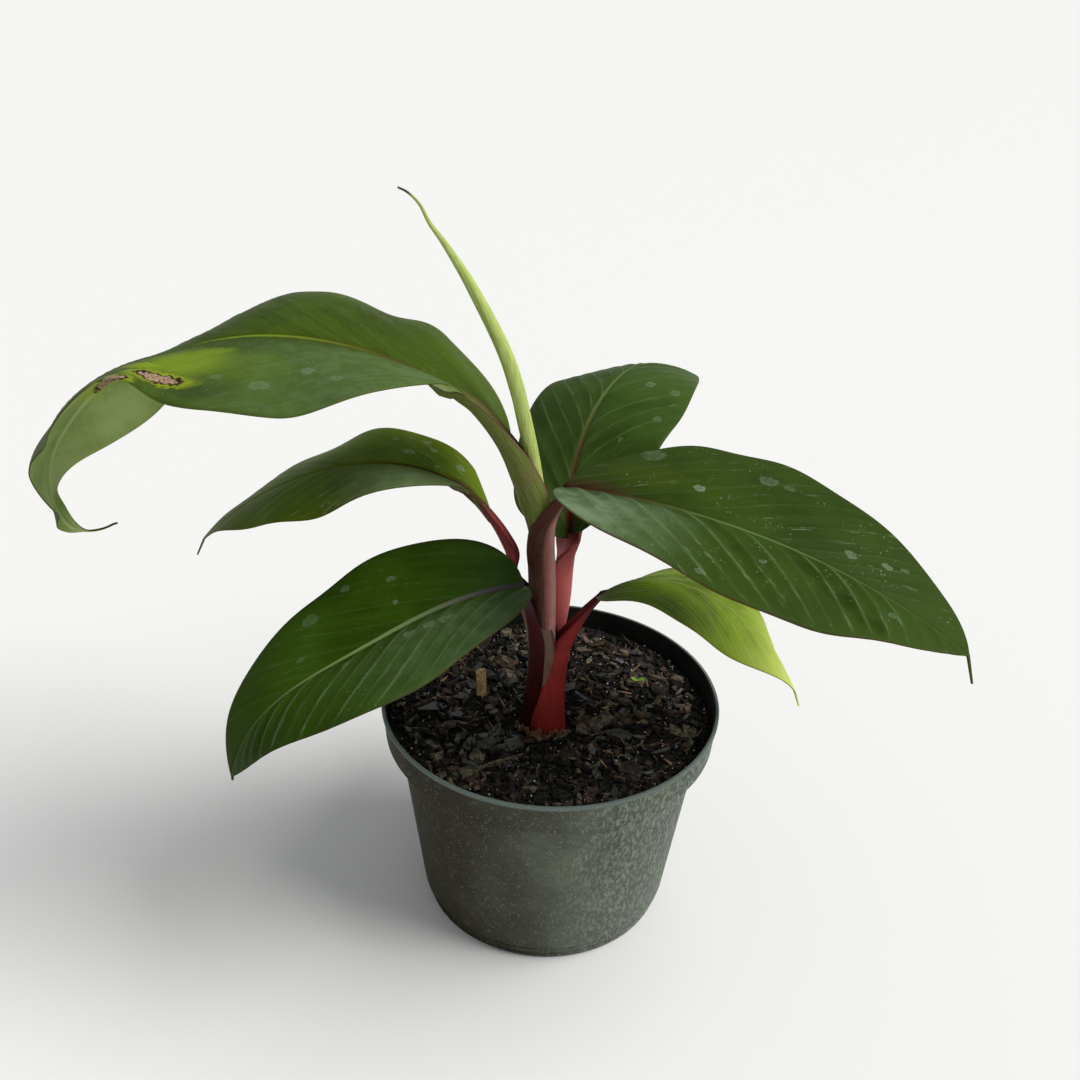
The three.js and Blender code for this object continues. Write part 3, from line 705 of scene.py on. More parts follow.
# The skins: distances in metres from a margin, a vein or the midrib, over which a tint fades in
SHEATH_TO_STALK = (0.03, 0.075)
TOP_TINT_START = 0.024
TOP_TINT_END = 0.001
VEIN_WIDTH = 0.0011
UNDER_VEIN = (0.0009, 0.0002)
MIDDLE_BLEND = 0.0005
SHEEN_FADE = 0.012
BLUSH_FADE = (-0.0012, 0.0004)
DASH_REACH = (0.0034, 0.0008)
MARK_WOBBLE_SCALE = 260.0
MARK_WOBBLE = 0.0022
WATER_MARK = tint(126, 145, 118)
SCAR_YELLOW = tint(150, 164, 30)
SCAR_LINE = tint(44, 28, 18)
SCAR_PAPER_DARK = tint(112, 84, 62)
SCAR_PAPER_LIGHT = tint(168, 146, 122)


def smooth_run(values, share):
    """Reads a list that runs evenly from 0 to 1, smoothly, at each share."""
    values = np.asarray(values, float)
    slopes = np.gradient(values)
    place = np.clip(share, 0, 1) * (len(values) - 1)
    i = np.minimum(place.astype(int), len(values) - 2)
    f = place - i
    ends = values[i] * (2 * f**3 - 3 * f**2 + 1) + values[i + 1] * (3 * f**2 - 2 * f**3)
    return ends + slopes[i] * (f**3 - 2 * f**2 + f) + slopes[i + 1] * (f**3 - f**2)


def ease(value, low, high):
    """Runs smoothly from 0 at low to 1 at high."""
    share = np.clip((value - low) / (high - low), 0, 1)
    return share * share * (3 - 2 * share)


def ways(rise, heading):
    """Unit directions from a rise above level and a heading round from +X, both in degrees."""
    rise, heading = np.radians(rise), np.radians(heading)
    level = np.cos(rise)
    return np.stack([level * np.cos(heading), level * np.sin(heading), np.sin(rise) + 0 * heading], -1)


def grown_line(start, length, rise, heading):
    """The points of a line whose rise and heading change smoothly along it."""
    share = np.linspace(0, 1, LINE_STEPS + 1)
    way = ways(smooth_run(rise, share), smooth_run(heading, share))
    steps = (way[1:] + way[:-1]) / 2 * length / LINE_STEPS
    return np.asarray(start) + np.vstack([np.zeros(3), np.cumsum(steps, 0)])


def read_line(line, share):
    """The points at each share of a line, which is evenly stepped."""
    steps = np.linspace(0, 1, len(line))
    return np.stack([np.interp(share, steps, line[:, k]) for k in range(3)], -1)


def unit(vectors):
    """The same directions, each one long."""
    return vectors / np.linalg.norm(vectors, axis=-1, keepdims=True)


def stalk_line(leaf):
    """The stalk's centre before it leans, which the blade's place follows from."""
    return grown_line(leaf["foot"], leaf["stalk"], leaf["stalk_rise"], leaf["stalk_heading"])


def rib_line(leaf):
    """The midrib's line, which starts where the stalk's line ends."""
    return grown_line(stalk_line(leaf)[-1], leaf["length"], leaf["rise"], leaf["heading"])


def flat_grid(name, columns, rows):
    """A flat grid, and the place of each corner on it, from 0 to 1 both ways."""
    bpy.ops.object.select_all(action="DESELECT")
    bpy.ops.mesh.primitive_grid_add(x_subdivisions=columns, y_subdivisions=rows, size=1, location=(0, 0, 0))
    piece = bpy.context.object
    piece.name = name
    corners = np.empty(3 * len(piece.data.vertices))
    piece.data.vertices.foreach_get("co", corners)
    corners = corners.reshape(-1, 3) + 0.5
    return piece, corners[:, 0], corners[:, 1]


def move_corners(piece, places):
    """Moves the corners of a grid to new places."""
    piece.data.vertices.foreach_set("co", np.ascontiguousarray(places).ravel())
    piece.data.update()


def lay_map(piece, name, first, second):
    """A UV map from two numbers for each corner, which a pattern then follows."""
    corner_of = np.empty(len(piece.data.loops), dtype=int)
    piece.data.loops.foreach_get("vertex_index", corner_of)
    layer = piece.data.uv_layers.new(name=name)
    layer.data.foreach_set("uv", np.stack([first[corner_of], second[corner_of]], -1).ravel())


def close_tube(piece):
    """Joins a rolled grid along its seam, fills its two ends and turns its faces outward."""
    bpy.ops.object.mode_set(mode="EDIT")
    bpy.ops.mesh.select_all(action="SELECT")
    bpy.ops.mesh.remove_doubles(threshold=SEAM)
    bpy.ops.mesh.select_all(action="DESELECT")
    bpy.ops.mesh.select_non_manifold()
    bpy.ops.mesh.edge_face_add()
    bpy.ops.mesh.select_all(action="SELECT")
    bpy.ops.mesh.normals_make_consistent(inside=False)
    bpy.ops.object.mode_set(mode="OBJECT")
    bpy.ops.object.shade_smooth_by_angle(angle=math.radians(TUBE_CREASE))


def sheath_length(leaf):
    """The sheath's length from its root in the mix, taken as straight."""
    top = np.add(leaf["foot"], leaf["lean"][0])
    return math.dist(top, (*leaf["sheath_base"], MIX_LEVEL - SHEATH_ROOT_DEPTH))


def stalk_finish(name, leaf):
    """Waxy red, brown or green skin, with fine ribs and streaks along it and a tinted margin. One with a
    flank keeps its own tint on its back only, and turns through the tint of sides to that of flank: a
    dark brown that is partly the skin's own and partly painted shade."""
    finish, place = new_finish(name)
    skin = leaf["stalk_skin"]
    streaks = skin["streaks"]
    strip = place.node("ShaderNodeUVMap", {"uv_map": "strip"}, {})
    turn, distance = strip.axis("X"), strip.axis("Y")
    whole = sheath_length(leaf) + leaf["stalk"]
    long_grain = strip.stretch(30.0, 55.0, 1.0).grain(1.0, detail=5.0, roughness=0.65)
    mottle = place.grain(90.0, detail=4.0)
    speckle = place.grain(1300.0, detail=1.0)
    change = skin.get("change", SHEATH_TO_STALK)
    color = distance.between(*change).mix(tint(*skin["sheath"]), tint(*skin["stalk"]))
    if "flank" in skin:
        # The flank's dark brown is partly painted shade
        on_shaded_flank = turn.magnitude().between(0.14, 0.40)
        color = (turn.magnitude().between(0.02, 0.22) * 0.6).mix(color, tint(*skin["sides"]))
        color = on_shaded_flank.mix(color, tint(*skin["flank"]))
        streaks = streaks - on_shaded_flank * (0.75 * streaks)
    color = distance.between(whole - TOP_TINT_START, whole - TOP_TINT_END).mix(color, tint(*skin["top"]))
    color = (mottle.between(0.5, 0.75) * 0.3).mix(color, tint(*skin["margin"]))
    color = (long_grain.between(0.42, 0.78) * streaks).mix(color, tint(*skin["streak"]))
    color = (speckle.between(0.55, 0.72) * (streaks * 0.5)).mix(color, tint(*skin["streak"]))
    color = (turn.magnitude().between(0.9, 0.99) * 0.85).mix(color, tint(*skin["margin"]))
    ribs = strip.stretch(30.0, 12.0, 1.0).grain(1.5, detail=2.0)
    cover(
        finish,
        place,
        Base_Color=color,
        Roughness=0.42 + long_grain * 0.16,
        Normal=(ribs + speckle * 0.3).relief(0.35, 0.0006),
        Specular_IOR_Level=0.14,
    )
    return finish


def sheath_curve(leaf, s):
    """The sheath's centre at each share, from upright in the mix round to the stalk's own direction."""
    base = np.array([*leaf["sheath_base"], MIX_LEVEL - SHEATH_ROOT_DEPTH])
    foot = np.array(leaf["foot"]) + leaf["lean"][0]
    arrival = ways(leaf["stalk_rise"][0], leaf["stalk_heading"][0])
    reach = (foot[2] - base[2]) / 3
    last_reach = leaf.get("arrival", reach)
    stations = [base, base + [0, 0, reach], foot - arrival * last_reach, foot]
    shares = [(1 - s) ** 3, 3 * s * (1 - s) ** 2, 3 * s**2 * (1 - s), s**3]
    return sum(share[:, None] * station for share, station in zip(shares, stations))


def stalk_frame(leaf, s, q, under):
    """Centre of the sheath and stalk, and the ways across and above. The shares are s of the sheath, q of
    the stalk, past whose end it runs in under the blade, and under of the midrib there."""
    heading = np.where(q < 1, smooth_run(leaf["stalk_heading"], q), smooth_run(leaf["heading"], under))
    heading = heading + leaf.get("stalk_turn", 0) * (1 - ease(q, 0.75, 1.1))
    lean = [smooth_run([offset[k] for offset in leaf["lean"]], np.clip(q, 0, 1)) for k in range(3)]
    stalk_centre = read_line(stalk_line(leaf), np.clip(q, 0, 1)) + np.stack(lean, -1)
    centre = np.where((q < 1)[:, None], stalk_centre, read_line(rib_line(leaf), under))
    centre = np.where((s < 1)[:, None], sheath_curve(leaf, s), centre)
    way = unit(np.gradient(centre, axis=0))
    level = ways(np.zeros(len(q)), heading + 90)
    above = unit(np.cross(way, level))
    return centre, np.cross(above, way), above


def grow_stalk(name, leaf):
    """The sheath and stalk of a leaf: a curled strip, thick at its back and thin at its two margins."""
    whole = sheath_length(leaf) + leaf["stalk"] + STALK_RUN_IN
    rows = round(whole / ROW_LENGTH)
    distance = np.linspace(0, whole, rows + 1)
    on_sheath = distance < sheath_length(leaf)
    s = np.clip(distance / sheath_length(leaf), 0, 1)
    q = np.maximum(distance - sheath_length(leaf), 0) / leaf["stalk"]
    under = np.maximum(q - 1, 0) * leaf["stalk"] / leaf["length"]
    centre, level, above = stalk_frame(leaf, s, q, under)

    # Under the blade it thins out, and sinks so that the midrib's groove stays open above it
    run_in = np.clip(under * leaf["length"] / STALK_RUN_IN, 0, 1)
    radius = np.where(on_sheath, smooth_run(leaf["sheath_radii"], s), smooth_run(leaf["stalk_radii"], q))
    radius = radius * (1 - RUN_IN_TAPER * run_in)
    sink = STALK_SINK * radius * ease(q, 1 - STALK_SINK_LENGTH / leaf["stalk"], 1)
    sink = sink + (0.5 * radius + GROOVE_DEPTH * leaf["rib_width"]) * ease(run_in, 0, 0.35)
    centre = centre - sink[:, None] * above
    # How far the strip curls round from its back, and how thick it is there
    sheath_curl = SHEATH_CURL - (SHEATH_CURL - STALK_CURL) * s
    stalk_curl = STALK_CURL - (STALK_CURL - STALK_TOP_CURL) * ease(q, 0, 1)
    curl = np.radians(np.where(on_sheath, sheath_curl, stalk_curl))
    back = SHEATH_WALL + (STALK_WALL - SHEATH_WALL) * ease(q, 0, 0.7)

    piece, around, along = flat_grid(f"stalk_of_{name}_leaf", RING_CORNERS, rows)
    row = np.rint(along * rows).astype(int)
    # The last column falls on the first one, which closes the ring
    outside = (around < 0.5) | (around > 0.999)
    turn = np.where(around < 0.5, 1 - 4 * around, 4 * around - 3)
    thickness = (back * radius)[row] * (1 - WALL_LOSS_AT_MARGIN * np.abs(turn) ** 2.5)
    lip = MARGIN_LIP * radius[row] * np.clip(np.abs(turn) * 4 - 3, 0, 1)
    ring = np.where(outside, radius[row], radius[row] - thickness) + lip
    angle = turn * curl[row]
    places = centre[row] + (ring * np.sin(angle))[:, None] * level[row]
    move_corners(piece, places - (ring * np.cos(angle))[:, None] * above[row])
    lay_map(piece, "strip", turn, distance[row])
    close_tube(piece)
    piece.data.materials.append(stalk_finish(f"stalk_skin_{name}", leaf))
    return piece


def blade_maps(place, leaf):
    """What patterns on a blade follow: shares of it, metres from its midrib, and its side veins."""
    share = place.node("ShaderNodeUVMap", {"uv_map": "share"}, {})
    veins = place.node("ShaderNodeUVMap", {"uv_map": "vein"}, {})
    along, side = share.axis("Y"), veins.axis("Y")
    spacing = leaf["vein_spacing"]
    phase = veins.axis("X")
    off_vein = (phase / spacing + VEIN_PHASE).fraction() - 0.5
    fine = (phase / (spacing / FINE_VEINS) + VEIN_PHASE).fraction() - 0.5
    return {
        "along": along,
        "across": share.axis("X").magnitude(),
        "side": side,
        "from_rib": side.magnitude(),
        "flat": (along * leaf["length"]).paired(side).bend(MARK_WOBBLE_SCALE, MARK_WOBBLE),
        "veins": veins,
        "off_vein": off_vein.magnitude() * spacing,
        "fine": fine.magnitude() * 2,
    }


def add_tints_and_painted_light(color, flat, tints_and_painted_light):
    """Tints a colour within soft ovals, some of them painted shade and painted sheen: (along, to the
    side, half length, half width, tint, strength).
    """
    for along, off, half_length, half_width, patch, strength in tints_and_painted_light:
        near = flat.from_spot((along, off), (half_length, half_width)).between(1.0, 0.3)
        color = (near * strength).mix(color, tint(*patch))
    return color


def add_scars(color, flat, scars):
    """Dry torn spots, brown as paper in a dark line: (along, to the side, half length, half width)."""
    for along, off, half_length, half_width in scars:
        far = flat.bend(380.0, 0.0056).from_spot((along, off), (half_length, half_width))
        paper = flat.grain(900.0, detail=3.0).between(0.35, 0.65)
        paper = paper.mix(SCAR_PAPER_DARK, SCAR_PAPER_LIGHT)
        color = (far.between(1.9, 1.1) * 0.6).mix(color, SCAR_YELLOW)
        color = far.between(1.2, 1.05).mix(color, SCAR_LINE)
        color = far.between(0.92, 0.8).mix(color, paper)
    return color


def blade_finish(name, leaf):
    """Satin upper skin: mottled green with side veins, a coloured midrib and dried water marks."""
    finish, place = new_finish(name)
    skin = leaf["blade_skin"]
    maps = blade_maps(place, leaf)
    t, across, flat, veins = maps["along"], maps["across"], maps["flat"], maps["veins"]
    side, from_rib, off_vein, fine = maps["side"], maps["from_rib"], maps["off_vein"], maps["fine"]

    broad = place.grain(26.0, detail=4.0, roughness=0.6)
    patchy = veins.stretch(80.0, 40.0, 1.0).grain(1.0, detail=3.0)
    color = broad.between(0.32, 0.68).mix(tint(*skin["deep"]), tint(*skin["light"]))
    color = (patchy.between(0.42, 0.66) * 0.45).mix(color, tint(*skin["light"]))
    color = (t.between(0.22, -0.02) * 0.8).mix(color, tint(*skin["base"]))
    color = (t.between(0.55, 1.0) * 0.8).mix(color, tint(*skin["tip"]))
    color = add_tints_and_painted_light(color, flat, leaf.get("tints_and_painted_light", ()))
    if "painted_sheen" in skin:
        # A painted sheen, pale grey, by the midrib on one side of it, that fades towards the tip
        sheen_color, sheen_side, sheen_reach, sheen_strength = skin["painted_sheen"]
        sheen_mask = (side * sheen_side).between(0.0, SHEEN_FADE) * t.between(sheen_reach, 0.3 * sheen_reach)
        sheen_mask = sheen_mask * (0.6 + place.grain(130.0, detail=5.0, roughness=0.6).between(0.42, 0.62) * 0.4)
        color = (sheen_mask * sheen_strength).mix(color, tint(*sheen_color))
    color = ((1 - fine) * broad * 0.22).mix(color, tint(*skin["light"]))

    # Each side vein fades in and out along its way, and some barely show
    strength = veins.stretch(1 / leaf["vein_spacing"], 0.0, 0.0).grain(0.9, detail=0.0).between(0.30, 0.62)
    broken = 0.4 + veins.stretch(60.0, 110.0, 1.0).grain(1.0, detail=2.0).between(0.36, 0.6) * 0.6
    line = off_vein.between(leaf.get("vein_width", VEIN_WIDTH), 0.0) * broken * across.between(1.0, 0.8)
    line = line * (0.2 + strength * 0.8) * t.between(1.0, 0.7)
    on_left = side.between(-MIDDLE_BLEND, MIDDLE_BLEND)
    left_show, right_show = leaf["vein_show"]
    shown = right_show + on_left * (left_show - right_show)
    left_marks, right_marks = leaf.get("mark_show", (1.0, 1.0))
    marks = (right_marks + on_left * (left_marks - right_marks)) * skin["marks"]
    color = (line * shown).mix(color, tint(*skin["vein"]))

    # Water marks: a few dried films, small specks, and dashes left along the side veins
    spots = place.spots(620.0, 0.16, 0.34, 0.66) * place.grain(45.0, detail=3.0).between(0.46, 0.60)
    dashes = veins.stretch(1.0, 0.36, 1.0).spots(560.0, 0.26, 0.50, 0.45)
    dashes = dashes * off_vein.between(*DASH_REACH) * place.grain(38.0, detail=2.0).between(0.44, 0.60)
    spots = spots.maths("MAXIMUM", spots, dashes * 0.8) * marks
    uneven = flat.bend(620.0, 0.0024)
    for film_along, film_side, size, film_strength in leaf["films"]:
        far = uneven.from_spot((film_along, film_side), (size, 0.8 * size))
        film = far.between(1.1, 0.75) * (0.65 + far.between(0.3, 0.85) * 0.35)
        spots = spots.maths("MAXIMUM", spots, film * film_strength)
    ragged = place.grain(420.0, detail=3.0).between(0.1, 0.6)
    spots = spots * ragged * across.between(0.02, 0.08)
    color = (spots * 0.85).mix(color, WATER_MARK)

    rib_half = leaf["rib_width"] * (0.95 - 0.68 * t.between(0.0, 0.85))
    on_rib = (1 - from_rib / rib_half).between(0.0, 0.3)
    if "blush" in skin:
        # A dark flush beside the midrib's foot, on one side of it
        blush_color, blush_side, blush_reach, blush_width = skin["blush"]
        flushed = (side * blush_side).between(*BLUSH_FADE) * t.between(blush_reach, 0.25 * blush_reach)
        flushed = flushed * from_rib.between(blush_width, 0.1 * blush_width)
        color = (flushed * 0.92).mix(color, tint(*blush_color))
    rib_color = t.between(0.04, leaf["rib_fade"]).mix(tint(*skin["rib_foot"]), tint(*skin["rib"]))
    color = (on_rib * (0.9 - 0.65 * t.between(0.4, 0.95))).mix(color, rib_color)
    margin = across.between(0.990, 0.997) * t.between(0.995, 0.95)
    color = (margin * 0.7).mix(color, tint(*skin["edge"]))
    color = add_scars(color, flat, leaf.get("scars", ()))
    bumps = fine * 0.25 - line * 0.5 + place.grain(700.0, detail=2.0) * 0.25 + spots * 0.1
    cover(
        finish,
        place,
        Base_Color=color,
        Roughness=0.40 + spots * 0.25 + broad * 0.14,
        Normal=bumps.relief(0.35, 0.0005),
        Specular_IOR_Level=0.05,
    )
    return finish


def underside_finish(name, leaf):
    """Dull paler skin under a blade, with its veins faint and its midrib a smooth ridge."""
    finish, place = new_finish(name)
    skin = leaf["under_skin"]
    maps = blade_maps(place, leaf)
    flat, fine = maps["flat"], maps["fine"]
    pale = tint(*skin["pale"])
    mottle = place.grain(48.0, detail=4.0).between(0.3, 0.7)
    color = mottle.mix(tint(*skin["color"]), pale)
    color = add_tints_and_painted_light(color, flat, leaf.get("under_patches", ()))
    color = (maps["off_vein"].between(*UNDER_VEIN) * 0.3).mix(color, pale)
    color = (fine * 0.12).mix(color, pale)
    rib_half = leaf["ridge"] * (1.15 - 0.85 * maps["along"].between(0.0, 1.0)) + 0.0003
    color = ((1 - maps["from_rib"] / rib_half).between(0.0, 0.4) * 0.7).mix(color, tint(*skin["rib"]))
    color = add_scars(color, flat, leaf.get("under_scars", ()))
    cover(
        finish,
        place,
        Base_Color=color,
        Roughness=0.6 + mottle * 0.1,
        Normal=(fine * 0.5 + place.grain(500.0)).relief(0.25, 0.0004),
        Specular_IOR_Level=0.12,
    )
    return finish


def by_half(leaf, is_right, key, other=None):
    """A value of each corner's own half, or else of the whole leaf."""
    left, right = (leaf[half].get(key, leaf.get(key, other)) for half in ("left", "right"))
    return np.where(is_right, right, left)


def run_by_half(leaf, is_right, key, t):
    """A run of values along the blade, read for each corner's own half."""
    right_run = smooth_run(leaf["right"][key], t)
    return np.where(is_right, right_run, smooth_run(leaf["left"][key], t))


def blade_frame(leaf, t, start):
    """The midrib's places, and the ways along it, to its side and up. A wing of the blade may start on
    the stalk, where t is below 0, and turns with it there."""
    length = leaf["length"]
    stalk_share = 1 + t * length / leaf["stalk"]
    by_stalk, by_rib = read_line(stalk_line(leaf), stalk_share), read_line(rib_line(leaf), t)
    drip_way = ways(leaf["drip_rise"], leaf["drip_heading"])
    centre = np.where((t < 0)[:, None], by_stalk, by_rib)
    centre = centre + np.maximum(t - 1, 0)[:, None] * length * drip_way
    joined = ease(t, start, 0) if start < 0 else np.ones_like(t)
    rise, heading = (
        smooth_run(leaf["stalk_" + key], stalk_share) * (1 - joined) + smooth_run(leaf[key], t) * joined
        for key in ("rise", "heading")
    )
    along = ways(rise, heading)
    level = ways(np.zeros_like(heading), heading + 90)
    above = np.cross(along, level)
    twist = smooth_run(leaf["twist"], t) + leaf.get("turn_over", 0) * ease(t, *TURN_OVER_REACH)
    twist = np.radians(twist)[:, None]
    side = np.cos(twist) * level + np.sin(twist) * above
    up = np.cos(twist) * above - np.sin(twist) * level
    return centre, along, side, up


def blade_half_width(leaf, is_right, t, end):
    """How wide each half is: it swells from its start, narrows to the tip and ends in a thread."""
    base_power, tip_power = by_half(leaf, is_right, "base_power"), leaf["tip_power"]
    start = by_half(leaf, is_right, "start")
    q = np.clip((t - start) / (1 - start), 0, 1)
    widest = base_power / (base_power + tip_power)
    width = leaf["half_width"] * (q / widest) ** base_power * ((1 - q) / (1 - widest)) ** tip_power
    width = width * (1 - np.exp(-((q / by_half(leaf, is_right, "rounding", ROUNDING)) ** 2)))
    width = width * (1 - leaf.get("slimming", 0) * ease(t, *SLIMMING_REACH))
    thread = THREAD_HALF_WIDTH * (1 - THREAD_TAPER * ease(t, 1, end + 0.001))
    return np.maximum(width, np.where(t > 0.5, thread, NARROWEST_HALF_WIDTH))


def thicken(piece, depth):
    """Makes a sheet solid below, by one value times a weight that gives each corner its own depth."""
    full_depth = float(depth.max())
    group = piece.vertex_groups.new(name="thickness")
    for index, weight in enumerate(depth / full_depth):
        group.add([index], float(weight), "REPLACE")
    bpy.ops.object.modifier_add(type="SOLIDIFY")
    solid = piece.modifiers["Solidify"]
    solid.thickness = full_depth
    solid.offset = -1
    solid.vertex_group = "thickness"
    solid.material_offset = 1
    bpy.ops.object.modifier_apply(modifier="Solidify")
    piece.vertex_groups.clear()


def grow_blade(name, leaf):
    """The blade of a leaf: a grid moved to the leaf's surface, then given thickness and a midrib."""
    length = leaf["length"]
    start = min(leaf["left"]["start"], leaf["right"]["start"])
    end = 1 + leaf["drip"] / length
    rows = round(length * (end - start) / ROW_LENGTH)
    piece, column, row = flat_grid(f"blade_of_{name}_leaf", BLADE_COLUMNS, rows)
    piece.data.materials.append(blade_finish(f"blade_top_{name}", leaf))
    piece.data.materials.append(underside_finish(f"blade_under_{name}", leaf))
    # Columns crowd towards the midrib, and rows towards the base and tip
    across = np.sign(column - 0.5) * np.abs(2 * column - 1) ** COLUMN_CROWDING
    t = start + (end - start) * (row - ROW_CROWDING * np.sin(2 * math.pi * row))
    is_right = across > 0
    w = np.abs(across)
    centre, along, side, up = blade_frame(leaf, t, start)
    width = blade_half_width(leaf, is_right, t, end)

    # Each half folds up or down at the midrib and curls on from there to its margin
    cup = leaf.get("cup", 0) * np.exp(-((np.maximum(t, 0) / CUP_REACH) ** 2))
    fold = np.radians(run_by_half(leaf, is_right, "fold", t) + cup)
    bend = np.radians(run_by_half(leaf, is_right, "curl", t)) * w + 1e-9
    out = width * w * (np.sin(fold + bend) - np.sin(fold)) / bend
    lift = width * w * (np.cos(fold) - np.cos(fold + bend)) / bend
    sign = np.where(is_right, -1.0, 1.0)
    from_rib = width * w

    # Side veins leave the midrib at a small angle and slant to the tip. The blade is gently pleated
    # between them, waves at its margin, and dips to a groove over the midrib.
    hug = VEIN_HUG * (1 - np.exp(-from_rib / VEIN_HUG_WIDTH))
    slant = by_half(leaf, is_right, "slant")
    vein = t * length - (slant * from_rib + VEIN_CURVE * from_rib**2 / leaf["half_width"] + hug)
    rib_width = leaf["rib_width"] * (1 - RIB_TAPER * np.clip(t, 0, 1))
    broad = np.clip(width / (0.4 * leaf["half_width"]), 0, 1)
    pleat_share = (1 - np.exp(-((from_rib / (2.5 * rib_width)) ** 2))) * (1 - w**4) * broad
    uneven = 0.6 + 0.4 * np.sin(vein / (0.7 * leaf["vein_spacing"]) + 1)
    pleat = by_half(leaf, is_right, "pleat") * np.cos(2 * math.pi * vein / leaf["vein_spacing"])
    pleat = pleat * pleat_share * uneven
    wave_start = np.where(is_right, RIGHT_WAVE_START, LEFT_WAVE_START)
    wave = leaf["wave"] * w**2 * np.sin(2 * math.pi * t * length / WAVE_LENGTH + wave_start) * broad
    groove = -GROOVE_DEPTH * rib_width * np.exp(-((from_rib / rib_width) ** 2)) * ease(t, -0.01, 0.03)
    dip = -STALK_SINK * leaf["stalk_radii"][-1] * np.exp(-((t / DIP_REACH) ** 2))
    dip = dip * np.exp(-from_rib / DIP_WIDTH)
    lift = lift + pleat + wave + groove + np.where(t < 0, 0, dip)
    past_start = t - by_half(leaf, is_right, "start")
    sweep = by_half(leaf, is_right, "lobe") * np.exp(-((past_start / LOBE_REACH) ** 2)) * w
    places = centre + (sign * out)[:, None] * side + lift[:, None] * up - sweep[:, None] * along
    move_corners(piece, places)
    lay_map(piece, "share", across, t)
    lay_map(piece, "vein", vein, sign * from_rib)

    # The midrib's depth makes the ridge underneath
    ridge = leaf["ridge"] * (1 - RIDGE_TAPER * np.clip(t, 0, 1))
    ridge_width = 0.9 * ridge + RIDGE_MARGIN
    rib_depth = ridge * np.exp(-((from_rib / ridge_width) ** 2)) * ease(t, 1.3, 0.9)
    thicken(piece, BLADE_THICKNESS + rib_depth)
    piece.data.shade_smooth()
    return piece


# Rise, heading, twist, fold and curl run from a leaf's foot to its tip, in degrees. Lean moves its stalk
# off the line that carries the blade. Films, tinted patches (some of them painted shade and painted
# sheen) and scars lie so far along it and to the side.
small_right = {
    "sheath_base": (-0.0014, -0.0108),
    "sheath_radii": [0.0096, 0.0078, 0.0058],
    "foot": (0.0055, -0.008, 0.150),
    "lean": [(-0.0025, -0.0010, 0), (-0.0005, -0.0002, 0), (0, 0, 0)],
    "stalk": 0.034,
    "stalk_rise": [73, 51],
    "stalk_heading": [6, 8],
    "stalk_radii": [0.0052, 0.0030, 0.0018],
    "length": 0.121,
    "half_width": 0.031,
    "base_power": 0.45,
    "tip_power": 0.85,
    "rise": [29, -15, -43, -66],
    "heading": [17, -5, -14, 1],
    "twist": [-1, 0, 3, -6],
    "left": {"start": 0, "fold": [-41, -8, -10], "curl": [-2, -6, -16], "lobe": 0, "slant": 1.8},
    "right": {"start": 0, "fold": [16, 1, 5], "curl": [2, -19, -8], "lobe": 0.003, "slant": 1.8},
    "drip": 0.008,
    "drip_rise": -70,
    "drip_heading": 0,
    "rib_width": 0.0011,
    "rib_fade": 0.25,
    "ridge": 0.0016,
    "films": [
        (0.0180, -0.0130, 0.0015, 0.50),
        (0.0265, -0.0205, 0.0018, 0.50),
        (0.0380, -0.0190, 0.0014, 0.45),
        (0.0300, -0.0100, 0.0012, 0.40),
    ],
    "vein_spacing": 0.0070,
    "vein_show": (0.5, 0.5),
    "pleat": 0.0004,
    "wave": 0.0008,
    "stalk_skin": {
        "sheath": (142, 38, 34),
        "stalk": (134, 32, 32),
        "top": (60, 30, 32),
        "margin": (70, 24, 26),
        "streak": (176, 84, 74),
        "streaks": 0.3,
    },
    "blade_skin": {
        "deep": (74, 96, 20),
        "light": (124, 148, 38),
        "base": (52, 72, 20),
        "tip": (204, 216, 108),
        "vein": (158, 180, 104),
        "rib_foot": (52, 36, 34),
        "rib": (124, 146, 66),
        "marks": 0.9,
        "edge": (112, 104, 52),
    },
    "under_skin": {
        "color": (112, 132, 54),
        "pale": (146, 164, 84),
        "rib": (150, 160, 90),
    },
}
stalk = grow_stalk("small_right", small_right)
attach(stalk, "root")
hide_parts("pseudostem", "stalk_small_right")
blade = grow_blade("small_right", small_right)
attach(blade, "root")
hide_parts("leaf_small_right")

